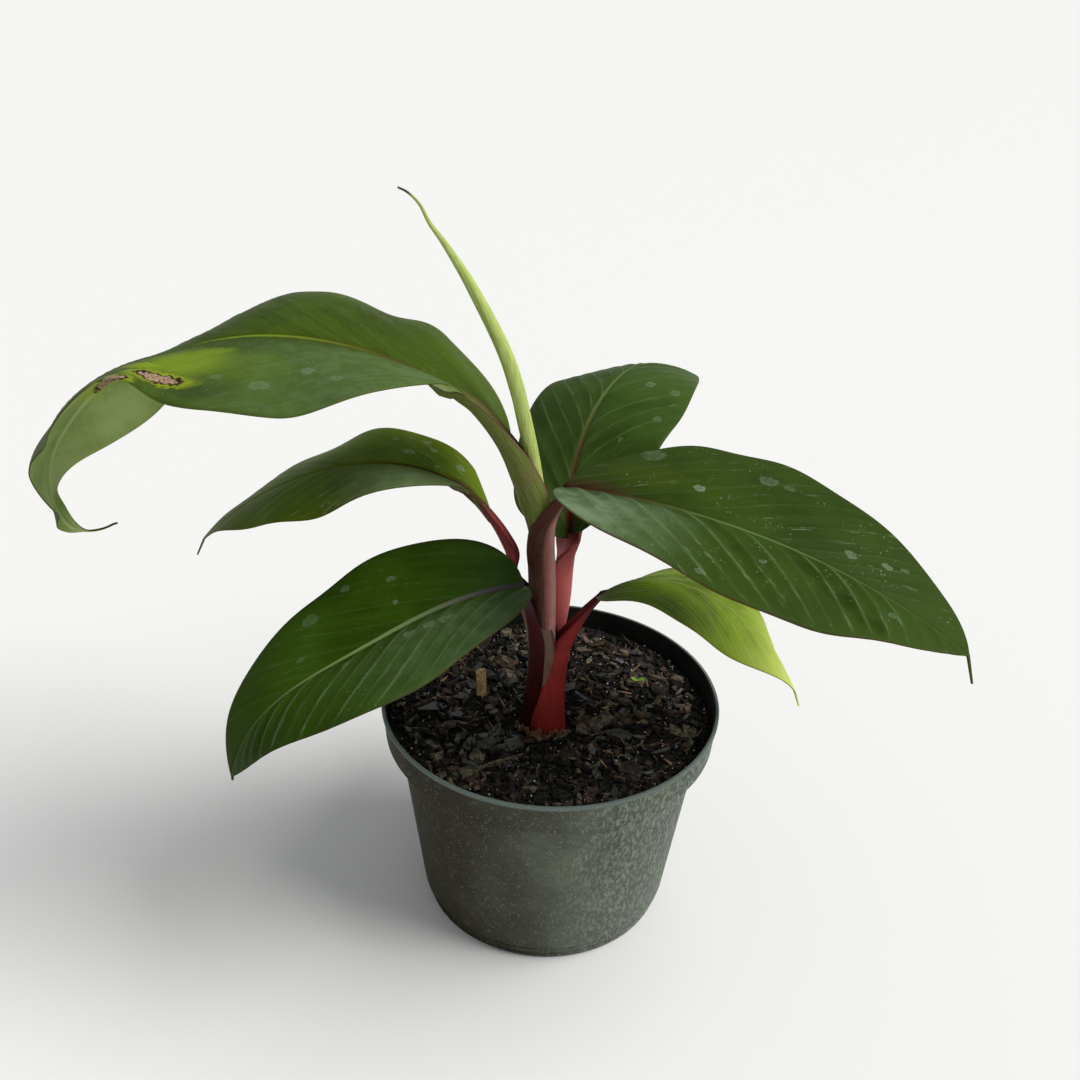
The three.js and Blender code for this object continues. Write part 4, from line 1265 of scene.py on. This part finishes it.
# Low left leaf. Its stalk is nearly upright and its broad dark blade arches down over the pot's lip,
# with a wide midrib that is purple-grey at its foot.
low_left = {
    "sheath_base": (-0.0088, -0.0084),
    "sheath_radii": [0.0064, 0.0058, 0.0054],
    "foot": (-0.0065, -0.014, 0.121),
    "lean": [(-0.0012, 0.0035, 0), (-0.0003, 0.0007, 0), (0, 0, 0)],
    "stalk": 0.071,
    "stalk_rise": [96, 68],
    "stalk_heading": [200, 206],
    "stalk_radii": [0.0060, 0.0048, 0.0034, 0.0025],
    "length": 0.163,
    "half_width": 0.042,
    "base_power": 0.47,
    "tip_power": 0.84,
    "rise": [3, -16, -28, -78],
    "heading": [202, 209, 203, 209],
    "twist": [-3, -3, -5, -5],
    "left": {
        "start": 0,
        "fold": [15, 10, 4],
        "curl": [2, -15, -8],
        "lobe": 0.002,
        "slant": 1.1,
        "pleat": 0.0009,
    },
    "right": {"start": 0, "fold": [18, 14, 9], "curl": [4, -13, -5], "lobe": 0.002, "slant": 1.8},
    "drip": 0.002,
    "drip_rise": -80,
    "drip_heading": 209,
    "rib_width": 0.0021,
    "rib_fade": 0.42,
    "ridge": 0.0022,
    "films": [
        (0.0508, -0.0255, 0.0020, 0.45),
        (0.0549, -0.0128, 0.0014, 0.50),
        (0.0703, -0.0342, 0.0024, 0.35),
        (0.0920, -0.0280, 0.0044, 0.25),
        (0.0580, 0.0083, 0.0026, 0.45),
        (0.0484, 0.0098, 0.0030, 0.45),
        (0.0876, 0.0054, 0.0020, 0.30),
        (0.1038, -0.0105, 0.0018, 0.25),
        (0.0400, 0.0120, 0.0040, 0.35),
    ],
    "vein_spacing": 0.0122,
    "vein_show": (0.85, 0.12),
    "vein_width": 0.0018,
    "mark_show": (0.8, 0.5),
    "pleat": 0.0003,
    "wave": 0.0006,
    "stalk_skin": {
        "sheath": (46, 4, 4),
        "stalk": (58, 8, 8),
        "top": (66, 52, 60),
        "margin": (52, 20, 24),
        "streak": (104, 36, 36),
        "streaks": 0.2,
    },
    "blade_skin": {
        "deep": (36, 56, 4),
        "light": (48, 72, 10),
        "base": (54, 80, 30),
        "tip": (40, 60, 5),
        "vein": (88, 112, 70),
        "rib_foot": (84, 74, 86),
        "rib": (112, 132, 82),
        "marks": 0.4,
        "edge": (70, 56, 30),
        # Painted sheen by the midrib on the near half
        "painted_sheen": ((98, 120, 84), 1.0, 0.7, 0.45),
    },
    "under_skin": {
        "color": (84, 104, 60),
        "pale": (112, 130, 84),
        "rib": (104, 92, 84),
    },
}
stalk = grow_stalk("low_left", low_left)
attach(stalk, "root")
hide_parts("pseudostem", "stalk_low_left")
blade = grow_blade("low_left", low_left)
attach(blade, "root")
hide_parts("leaf_low_left")

# Upright leaf, behind the stem. Its red stalk rises straight with its channel open to the front, and
# its blade stands up and arches away to the back, with pale side veins.
upright = {
    "sheath_base": (-0.001, -0.005),
    "sheath_radii": [0.0072, 0.0062, 0.0052],
    "foot": (0.003, 0.002, 0.136),
    "lean": [
        (-0.0059, -0.0030, 0),
        (-0.0048, -0.0023, 0),
        (-0.0036, -0.0015, 0),
        (-0.0044, -0.0006, 0),
        (-0.0026, 0, 0),
    ],
    "stalk": 0.069,
    "stalk_rise": [79, 93],
    "stalk_heading": [58, 59],
    "stalk_turn": -70,
    "stalk_radii": [0.0057, 0.0058, 0.0060, 0.0072, 0.0068],
    "length": 0.180,
    "half_width": 0.040,
    "base_power": 0.51,
    "tip_power": 0.87,
    "rise": [63, 44, 19, -10, -29, -53],
    "heading": [97, 73, 63, 64, 64, 63],
    "twist": [-7, -11, -3, -5, -6, -2],
    "left": {"start": 0, "fold": [-7, -10, -10], "curl": [-8, -12, -12], "lobe": 0.003, "slant": 0.8},
    "right": {"start": 0, "fold": [3, 3, 6], "curl": [0, -25, -30], "lobe": 0.001, "slant": 0.8},
    "cup": 50,
    "drip": 0.006,
    "drip_rise": -70,
    "drip_heading": 63,
    "rib_width": 0.0017,
    "rib_fade": 0.5,
    "ridge": 0.0032,
    "films": [
        (0.0885, -0.0171, 0.0024, 0.50),
        (0.0890, -0.0300, 0.0030, 0.30),
        (0.0650, -0.0310, 0.0026, 0.30),
        (0.0470, -0.0189, 0.0014, 0.35),
    ],
    "vein_spacing": 0.0118,
    "vein_show": (0.7, 0.35),
    "vein_width": 0.0016,
    "pleat": 0.0004,
    "wave": 0.0006,
    "stalk_skin": {
        "sheath": (126, 34, 36),
        "stalk": (214, 106, 104),
        "top": (132, 58, 56),
        "margin": (140, 54, 58),
        "streak": (206, 128, 124),
        "streaks": 0.3,
    },
    "blade_skin": {
        "deep": (42, 62, 16),
        "light": (58, 80, 30),
        "base": (40, 56, 14),
        "tip": (54, 76, 28),
        "vein": (84, 108, 62),
        "rib_foot": (84, 40, 32),
        "rib": (90, 110, 58),
        "marks": 0.35,
        "edge": (66, 66, 36),
        "blush": ((66, 36, 24), -1.0, 0.16, 0.006),
    },
    "under_skin": {
        "color": (84, 104, 60),
        "pale": (112, 130, 84),
        "rib": (120, 96, 76),
    },
}
stalk = grow_stalk("upright", upright)
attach(stalk, "root")
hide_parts("pseudostem", "stalk_upright")
blade = grow_blade("upright", upright)
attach(blade, "root")
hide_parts("leaf_upright")

# Small left leaf. Its brown-grey sheath makes a collar round the stem, from which a thin red stalk
# leans out and carries a narrow blade that droops to a long thread-like tip.
small_left = {
    "sheath_base": (-0.0035, -0.0085),
    "sheath_radii": [0.0078, 0.0074, 0.0072, 0.0072],
    "foot": (-0.008, -0.002, 0.159),
    "lean": [
        (0.0026, -0.0068, 0),
        (0.0017, -0.0066, 0),
        (-0.0010, -0.0058, 0),
        (-0.0044, -0.0036, 0),
        (0.0002, -0.0014, 0),
        (0.0010, -0.0006, 0),
        (0.0010, 0, 0),
        (0.0006, 0, 0),
        (0, 0, 0),
    ],
    "stalk": 0.077,
    "stalk_rise": [81, 45],
    "stalk_heading": [165, 171],
    "stalk_radii": [0.0072, 0.0066, 0.0050, 0.0035, 0.0037, 0.0034, 0.0029, 0.0026, 0.0023],
    "length": 0.152,
    "half_width": 0.032,
    "base_power": 0.58,
    "tip_power": 0.88,
    "rise": [30, -13, -33, -48],
    "heading": [172, 168, 166, 167],
    "twist": [12, -3, -1, -1],
    "left": {"start": 0, "fold": [16, -5, 2], "curl": [3, -22, -9], "lobe": 0.003, "slant": 1.4},
    "right": {
        "start": -0.12,
        "base_power": 0.8,
        "fold": [18, 8, 7],
        "curl": [-1, -21, -9],
        "lobe": 0,
        "slant": 1.4,
    },
    "drip": 0.010,
    "drip_rise": -65,
    "drip_heading": 185,
    "rib_width": 0.0013,
    "rib_fade": 0.6,
    "ridge": 0.0019,
    "films": [
        (0.0313, -0.0106, 0.0028, 0.95),
        (0.0255, -0.0209, 0.0022, 0.80),
        (0.0210, -0.0156, 0.0018, 0.80),
        (0.0066, -0.0109, 0.0024, 0.85),
        (0.0158, -0.0047, 0.0015, 0.80),
        (0.0400, -0.0200, 0.0015, 0.40),
        (0.0350, 0.0150, 0.0030, 0.50),
        (0.0240, 0.0110, 0.0026, 0.50),
        (0.0480, 0.0190, 0.0022, 0.40),
    ],
    "vein_spacing": 0.0130,
    "vein_show": (0.3, 0.2),
    "pleat": 0.0002,
    "wave": 0.0009,
    "stalk_skin": {
        "sheath": (110, 84, 72),
        "stalk": (132, 44, 46),
        "top": (70, 36, 32),
        "margin": (60, 22, 24),
        "streak": (160, 124, 112),
        "streaks": 0.4,
        "change": (0.066, 0.080),
    },
    "blade_skin": {
        "deep": (62, 78, 4),
        "light": (84, 104, 14),
        "base": (94, 114, 20),
        "tip": (74, 92, 8),
        "vein": (112, 134, 84),
        "rib_foot": (66, 28, 22),
        "rib": (90, 106, 32),
        "marks": 0.95,
        "edge": (70, 66, 26),
        "blush": ((70, 44, 28), -1.0, 0.08, 0.005),
        # Painted sheen by the midrib on the near half
        "painted_sheen": ((128, 148, 118), 1.0, 0.42, 0.6),
    },
    "under_skin": {
        "color": (88, 106, 56),
        "pale": (116, 132, 80),
        "rib": (112, 84, 70),
    },
}
stalk = grow_stalk("small_left", small_left)
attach(stalk, "root")
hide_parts("pseudostem", "stalk_small_left")
blade = grow_blade("small_left", small_left)
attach(blade, "root")
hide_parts("leaf_small_left")

# Broad right leaf. Its brown sheath is the column of the stem, and turns out near the top into a short
# stalk. The big heavy blade reaches to the right and front, dusted with water marks along its veins.
broad_right = {
    "sheath_base": (-0.0042, -0.0086),
    "sheath_radii": [0.0064, 0.0062, 0.0062, 0.0063],
    "arrival": 0.020,
    "foot": (-0.004, -0.0145, 0.196),
    "lean": [
        (-0.0025, 0.0056, 0),
        (-0.0034, 0.0058, 0),
        (-0.0038, 0.0050, 0),
        (-0.0015, 0.0020, 0),
        (0, 0, 0),
    ],
    "stalk": 0.047,
    "stalk_rise": [94, 64],
    "stalk_heading": [329, 335],
    "stalk_radii": [0.0063, 0.0064, 0.0060, 0.0040, 0.0029],
    "length": 0.182,
    "half_width": 0.052,
    "base_power": 0.57,
    "tip_power": 0.83,
    "rise": [12, -6, -19, -22],
    "heading": [325, 340, 342, 321],
    "twist": [-3, -5, 2, 2],
    "left": {"start": 0, "fold": [14, 16, 6], "curl": [-3, -10, -7], "lobe": 0.004, "slant": 1.3},
    "right": {
        "start": 0,
        "fold": [12, 3, 8],
        "curl": [1, -13, -6],
        "lobe": 0.0015,
        "slant": 0.6,
        "pleat": 0.0008,
    },
    "drip": 0.013,
    "drip_rise": -72,
    "drip_heading": 335,
    "rib_width": 0.0014,
    "rib_fade": 0.5,
    "ridge": 0.0026,
    # The three dark ovals are painted shade in a valley of the near half, and the pale grey one by the base
    # is painted sheen
    "tints_and_painted_light": [
        (0.111, -0.010, 0.013, 0.006, (32, 50, 0), 0.85),
        (0.126, -0.018, 0.013, 0.007, (30, 48, 0), 0.9),
        (0.142, -0.023, 0.012, 0.006, (34, 52, 0), 0.85),
        (0.030, 0.018, 0.024, 0.014, (60, 72, 10), 0.55),
        (0.062, 0.016, 0.030, 0.010, (54, 72, 12), 0.5),
        (0.020, -0.034, 0.022, 0.010, (128, 148, 120), 0.45),
    ],
    "films": [
        (0.0556, 0.0169, 0.0030, 0.75),
        (0.0821, 0.0355, 0.0044, 0.35),
        (0.0917, 0.0350, 0.0026, 0.30),
        (0.1386, 0.0157, 0.0024, 0.60),
        (0.1450, 0.0194, 0.0017, 0.50),
        (0.1235, 0.0111, 0.0028, 0.55),
        (0.0269, 0.0334, 0.0060, 0.30),
        (0.0909, -0.0191, 0.0019, 0.45),
        (0.0714, -0.0454, 0.0024, 0.35),
        (0.1480, -0.0099, 0.0020, 0.30),
    ],
    "vein_spacing": 0.0125,
    "vein_show": (0.14, 0.55),
    "vein_width": 0.0017,
    "mark_show": (0.9, 0.6),
    "pleat": 0.0004,
    "wave": 0.0006,
    "stalk_skin": {
        "sheath": (170, 122, 112),
        "stalk": (180, 128, 118),
        "top": (76, 28, 20),
        "margin": (84, 44, 44),
        "streak": (200, 176, 164),
        "streaks": 0.35,
        # The flank's dark brown is partly painted shade on the column's side away from the light
        "flank": (62, 30, 15),
        "sides": (138, 46, 48),
    },
    "blade_skin": {
        "deep": (36, 52, 6),
        "light": (48, 68, 16),
        "base": (40, 56, 10),
        "tip": (50, 70, 18),
        "vein": (92, 116, 72),
        "rib_foot": (64, 34, 24),
        "rib": (88, 110, 60),
        "marks": 0.75,
        "edge": (84, 54, 36),
        "blush": ((58, 36, 22), 1.0, 0.20, 0.010),
        # Painted sheen by the midrib on the near half
        "painted_sheen": ((118, 140, 106), -1.0, 0.40, 0.6),
    },
    "under_skin": {
        "color": (84, 104, 60),
        "pale": (112, 130, 84),
        "rib": (112, 90, 74),
    },
}
stalk = grow_stalk("broad_right", broad_right)
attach(stalk, "root")
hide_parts("pseudostem", "stalk_broad_right")
blade = grow_blade("broad_right", broad_right)
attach(blade, "root")
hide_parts("leaf_broad_right")

# Long left leaf, the youngest open one. It arches far out, and its end hangs bent over and curls back,
# so that its dull underside shows. A dry brown tear lies at the bend, with yellowed skin round it.
long_left = {
    "sheath_base": (-0.004, -0.0082),
    "sheath_radii": [0.0050, 0.0048, 0.0047, 0.0047, 0.0050, 0.0068],
    "arrival": 0.020,
    "foot": (-0.010, -0.009, 0.226),
    "lean": [
        (0, 0, 0),
        (0.0003, 0, 0.0002),
        (0.0008, 0, 0.0007),
        (0.0011, 0, 0.0010),
        (0.0010, 0, 0.0009),
    ],
    "stalk": 0.068,
    "stalk_rise": [75, 41],
    "stalk_heading": [194, 184],
    "stalk_radii": [0.0068, 0.0066, 0.0054, 0.0046, 0.0036],
    "length": 0.268,
    "half_width": 0.060,
    "base_power": 0.45,
    "tip_power": 1.06,
    "rise": [36, 19, 5, -14, -22, -44, -61, -105, -195],
    "heading": [193, 181, 180, 171, 182, 167, 179, 214, 220],
    "twist": [12, 9, 0, 2, 23, 39, 54, 39, 20],
    "turn_over": 165,
    "slimming": 0.6,
    "left": {
        "start": -0.045,
        "rounding": 0.12,
        "fold": [14, 3, 2, -3, -31, -27, -36],
        "curl": [-3, -20, -18, -14, -45, -32, -9],
        "lobe": 0.002,
        "slant": 1.3,
    },
    "right": {
        "start": -0.13,
        "base_power": 0.36,
        "fold": [28, 18, 12, 9, 18, 30, 23],
        "curl": [-22, -32, -27, -15, -35, -35, 0],
        "lobe": 0.004,
        "slant": 0.9,
    },
    "drip": 0.002,
    "drip_rise": 180,
    "drip_heading": 220,
    "rib_width": 0.0014,
    "rib_fade": 0.4,
    "ridge": 0.0022,
    # The two dark ovals are a painted shadow along the crease, where the near margin curls over
    "tints_and_painted_light": [
        (0.106, 0.026, 0.026, 0.018, (122, 146, 16), 0.75),
        (0.080, 0.030, 0.020, 0.016, (84, 108, 12), 0.5),
        (0.125, 0.034, 0.014, 0.007, (136, 158, 20), 0.7),
        (0.098, 0.016, 0.012, 0.005, (118, 142, 20), 0.6),
        (0.095, 0.048, 0.016, 0.007, (34, 48, 6), 0.6),
        (0.150, 0.040, 0.030, 0.020, (46, 66, 12), 0.7),
    ],
    "scars": [(0.1125, 0.0432, 0.0110, 0.0034), (0.1300, 0.0515, 0.0060, 0.0030)],
    "under_patches": [(0.163, 0.002, 0.016, 0.012, (150, 164, 44), 0.8)],
    "under_scars": [(0.1575, 0.0010, 0.0060, 0.0032)],
    "films": [
        (0.0600, 0.0300, 0.0030, 0.35),
        (0.0750, 0.0420, 0.0036, 0.30),
        (0.0480, 0.0360, 0.0026, 0.35),
        (0.0900, 0.0380, 0.0024, 0.25),
    ],
    "vein_spacing": 0.0072,
    "vein_show": (0.35, 0.7),
    "pleat": 0.0004,
    "wave": 0.0007,
    "stalk_skin": {
        "sheath": (86, 76, 38),
        "stalk": (86, 94, 36),
        "top": (80, 92, 30),
        "margin": (104, 62, 66),
        "streak": (156, 160, 104),
        "streaks": 0.35,
    },
    "blade_skin": {
        "deep": (44, 60, 6),
        "light": (64, 84, 18),
        "base": (66, 86, 14),
        "tip": (40, 56, 4),
        "vein": (40, 58, 6),
        "rib_foot": (76, 48, 30),
        "rib": (118, 140, 40),
        "marks": 0.3,
        "edge": (78, 88, 30),
        # Painted sheen by the midrib on the near half
        "painted_sheen": ((100, 126, 86), 1.0, 0.5, 0.4),
    },
    "under_skin": {
        "color": (128, 150, 74),
        "pale": (160, 180, 110),
        "rib": (176, 190, 130),
    },
}
stalk = grow_stalk("long_left", long_left)
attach(stalk, "root")
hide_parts("pseudostem", "stalk_long_left")
blade = grow_blade("long_left", long_left)
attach(blade, "root")
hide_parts("leaf_long_left", "leaf_long_left_tip")

# Furled leaf. The newest leaf is still rolled up tight as a spear, one margin lapped over the other
# in a slow spiral. It rises out of the topmost sheath, and its end has dried to a brown thread.
# Places of the roll's centre from its foot to its tip, with its radius at each
SPEAR_PATH = [
    (-0.0075, -0.0080, 0.212),
    (-0.0100, -0.0080, 0.236),
    (-0.0155, -0.0080, 0.264),
    (-0.0235, -0.0080, 0.294),
    (-0.0380, -0.0080, 0.324),
    (-0.0490, -0.0080, 0.342),
    (-0.0555, -0.0080, 0.351),
    (-0.0595, -0.0080, 0.3585),
    (-0.0640, -0.0080, 0.3630),
    (-0.0680, -0.0080, 0.3650),
]
SPEAR_RADII = [0.0031, 0.0032, 0.0033, 0.0031, 0.0024, 0.0014, 0.0009, 0.0006, 0.0005, 0.0004]
SPEAR_ROWS = 130
SPEAR_TURNS = 1.3
SPEAR_STEP = 0.004
LAP_START = 0.62
LAP_LOW = 0.96
LAP_STAND = 0.08
LAP_SHADE_WIDTH = 0.12
DULLER_FROM = 0.62
DRIED_FROM = 0.84
DRIED_WHOLLY = 0.90
SPEAR_DARK = tint(146, 164, 68)
SPEAR_LIGHT = tint(184, 200, 120)
LAP_SHADE = tint(112, 130, 54)
SPEAR_DULLER = tint(128, 142, 66)
SPEAR_DRIED = tint(64, 46, 38)
spear, around, along = flat_grid("furled_leaf_spear", RING_CORNERS, SPEAR_ROWS)
spear_axis = [np.array([point[k] for point in SPEAR_PATH]) for k in range(3)]
centre = np.stack([smooth_run(values, along) for values in spear_axis], -1)
ahead = np.stack([smooth_run(values, along + SPEAR_STEP) for values in spear_axis], -1)
behind = np.stack([smooth_run(values, along - SPEAR_STEP) for values in spear_axis], -1)
way = unit(ahead - behind)
front = unit(np.cross(way, np.tile([0.0, 1.0, 0.0], (len(along), 1))))
flank = np.cross(way, front)
angle = 2 * math.pi * around
lap = np.mod(around - SPEAR_TURNS * along - LAP_START, 1)
ring = smooth_run(SPEAR_RADII, along) * (LAP_LOW + LAP_STAND * lap)
places = centre + (ring * np.cos(angle))[:, None] * front + (ring * np.sin(angle))[:, None] * flank
move_corners(spear, places)
lay_map(spear, "roll", lap, along)
close_tube(spear)

spear_skin, place = new_finish("furled_leaf_skin")
roll = place.node("ShaderNodeUVMap", {"uv_map": "roll"}, {})
lap_share, up_share = roll.axis("X"), roll.axis("Y")
streaks = roll.stretch(30.0, 24.0, 1.0).grain(1.5, detail=4.0)
skin = streaks.between(0.3, 0.7).mix(SPEAR_DARK, SPEAR_LIGHT)
skin = (lap_share.between(LAP_SHADE_WIDTH, 0.0) * 0.6).mix(skin, LAP_SHADE)
skin = (up_share.between(DULLER_FROM, DRIED_FROM) * 0.7).mix(skin, SPEAR_DULLER)
skin = up_share.between(DRIED_FROM, DRIED_WHOLLY).mix(skin, SPEAR_DRIED)
cover(
    spear_skin,
    place,
    Base_Color=skin,
    Roughness=0.42 + streaks * 0.12,
    Normal=streaks.relief(0.12, 0.0004),
    Specular_IOR_Level=0.25,
)
spear.data.materials.append(spear_skin)
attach(spear, "root")
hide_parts("furled_leaf")

# Dry scrap at the stem's foot. The withered remnant of an older sheath, thin and brown as paper,
# clings round the front of the stem where it enters the mix.
SCRAP_COLUMNS = 60
SCRAP_ROWS = 10
SCRAP_ARC = (185, 335)
SCRAP_MIDDLE = (0.0002, -0.0010)
SCRAP_RADIUS = 0.0124
SCRAP_FLARE = 0.0022
SCRAP_RIPPLE = 0.0022
SCRAP_SINK = 0.0004
SCRAP_HEIGHT = 0.0100
SCRAP_THICKNESS = 0.0004
scrap, around, up = flat_grid("dry_sheath_scrap", SCRAP_COLUMNS, SCRAP_ROWS)
angle = np.radians(SCRAP_ARC[0] + (SCRAP_ARC[1] - SCRAP_ARC[0]) * around)
ripple = np.array([noise.noise(Vector((a * 3, u * 2.0, 5))) for a, u in zip(angle, up)])
tear = np.array([noise.noise(Vector((a * 7, 0, 9))) for a in angle])
radius = SCRAP_RADIUS + SCRAP_FLARE * up**2 + SCRAP_RIPPLE * ripple
torn_height = SCRAP_HEIGHT * up * (0.75 + 0.8 * tear) * np.sin(math.pi * around) ** 0.4
height = MIX_LEVEL - SCRAP_SINK + torn_height
scrap_x = STEM_CENTRE[0] + SCRAP_MIDDLE[0] + radius * np.cos(angle)
scrap_y = STEM_CENTRE[1] + SCRAP_MIDDLE[1] + radius * np.sin(angle)
move_corners(scrap, np.stack([scrap_x, scrap_y, height], -1))
bpy.ops.object.modifier_add(type="SOLIDIFY")
scrap.modifiers["Solidify"].thickness = SCRAP_THICKNESS
bpy.ops.object.modifier_apply(modifier="Solidify")
bpy.ops.object.shade_smooth()
scrap.data.materials.append(mix_finish("dry_sheath_paper", (96, 66, 46), (160, 122, 90), 0.75))
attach(scrap, "root")

# Floor. A plain pale sheet, painted matte, that the pot stands on. It reaches past the edges of the
# picture at the photo's angle, and is there for the picture only.
FLOOR_SIZE = 24
FLOOR_TINT = tint(224, 224, 222)
bpy.ops.object.select_all(action="DESELECT")
bpy.ops.mesh.primitive_plane_add(size=FLOOR_SIZE, location=(0, 0, 0))
floor = bpy.context.object
floor.name = "pale_floor"
floor_paint, place = new_finish("pale_floor_paint")
cover(floor_paint, place, Base_Color=FLOOR_TINT, Roughness=0.9)
floor.data.materials.append(floor_paint)

# Light. A dim even room, and one broad soft light from the right, like a window, whose heading, rise
# and spread are in degrees.
SUN_HEADING = -8.0
SUN_RISE = 50.0
SUN_SPREAD = 40.0
SUN_STRENGTH = 3.3
ROOM_STRENGTH = 0.46
SUN_COLOR = (1.0, 0.99, 0.97)
ROOM_COLOR = (0.95, 0.97, 1.0, 1.0)
sun = bpy.data.objects.new("window_light", bpy.data.lights.new("window_light", "SUN"))
sun.data.energy = SUN_STRENGTH
sun.data.angle = math.radians(SUN_SPREAD)
sun.data.color = SUN_COLOR
sun_way = Vector(ways(SUN_RISE, SUN_HEADING))
sun.rotation_euler = (-sun_way).to_track_quat("-Z", "Y").to_euler()
bpy.context.scene.collection.objects.link(sun)
world = bpy.data.worlds.new("pale_room")
bpy.context.scene.world = world
world.use_nodes = True
background = world.node_tree.nodes["Background"]
background.inputs["Color"].default_value = ROOM_COLOR
background.inputs["Strength"].default_value = ROOM_STRENGTH
bpy.context.scene.view_settings.view_transform = "Standard"

# Camera. It stands where the photo was taken from, a little over half a metre in front of the pot and
# about as far above the floor. It looks down at 30 degrees, and is rolled a little.
CAMERA_PLACE = (-0.0077, -0.5196, 0.5035)
CAMERA_PITCH = 30.0
CAMERA_ROLL = 1.95
CAMERA_FOCAL_PIXELS = 1312
PHOTO_PIXELS = 1080
SENSOR_WIDTH = 36.0
camera = bpy.data.objects.new("camera", bpy.data.cameras.new("camera"))
camera.data.sensor_width = SENSOR_WIDTH
camera.data.lens = SENSOR_WIDTH * CAMERA_FOCAL_PIXELS / PHOTO_PIXELS
camera.data.dof.use_dof = False
pitch = math.radians(CAMERA_PITCH)
forward = Vector((0, math.cos(pitch), -math.sin(pitch)))
level_up = Vector((0, math.sin(pitch), math.cos(pitch)))
roll = math.radians(CAMERA_ROLL)
right = math.cos(roll) * Vector((1, 0, 0)) + math.sin(roll) * level_up
upward = math.cos(roll) * level_up - math.sin(roll) * Vector((1, 0, 0))
facing = Matrix((right, upward, -forward)).transposed().to_4x4()
camera.matrix_world = Matrix.Translation(CAMERA_PLACE) @ facing
bpy.context.scene.collection.objects.link(camera)
bpy.context.scene.camera = camera
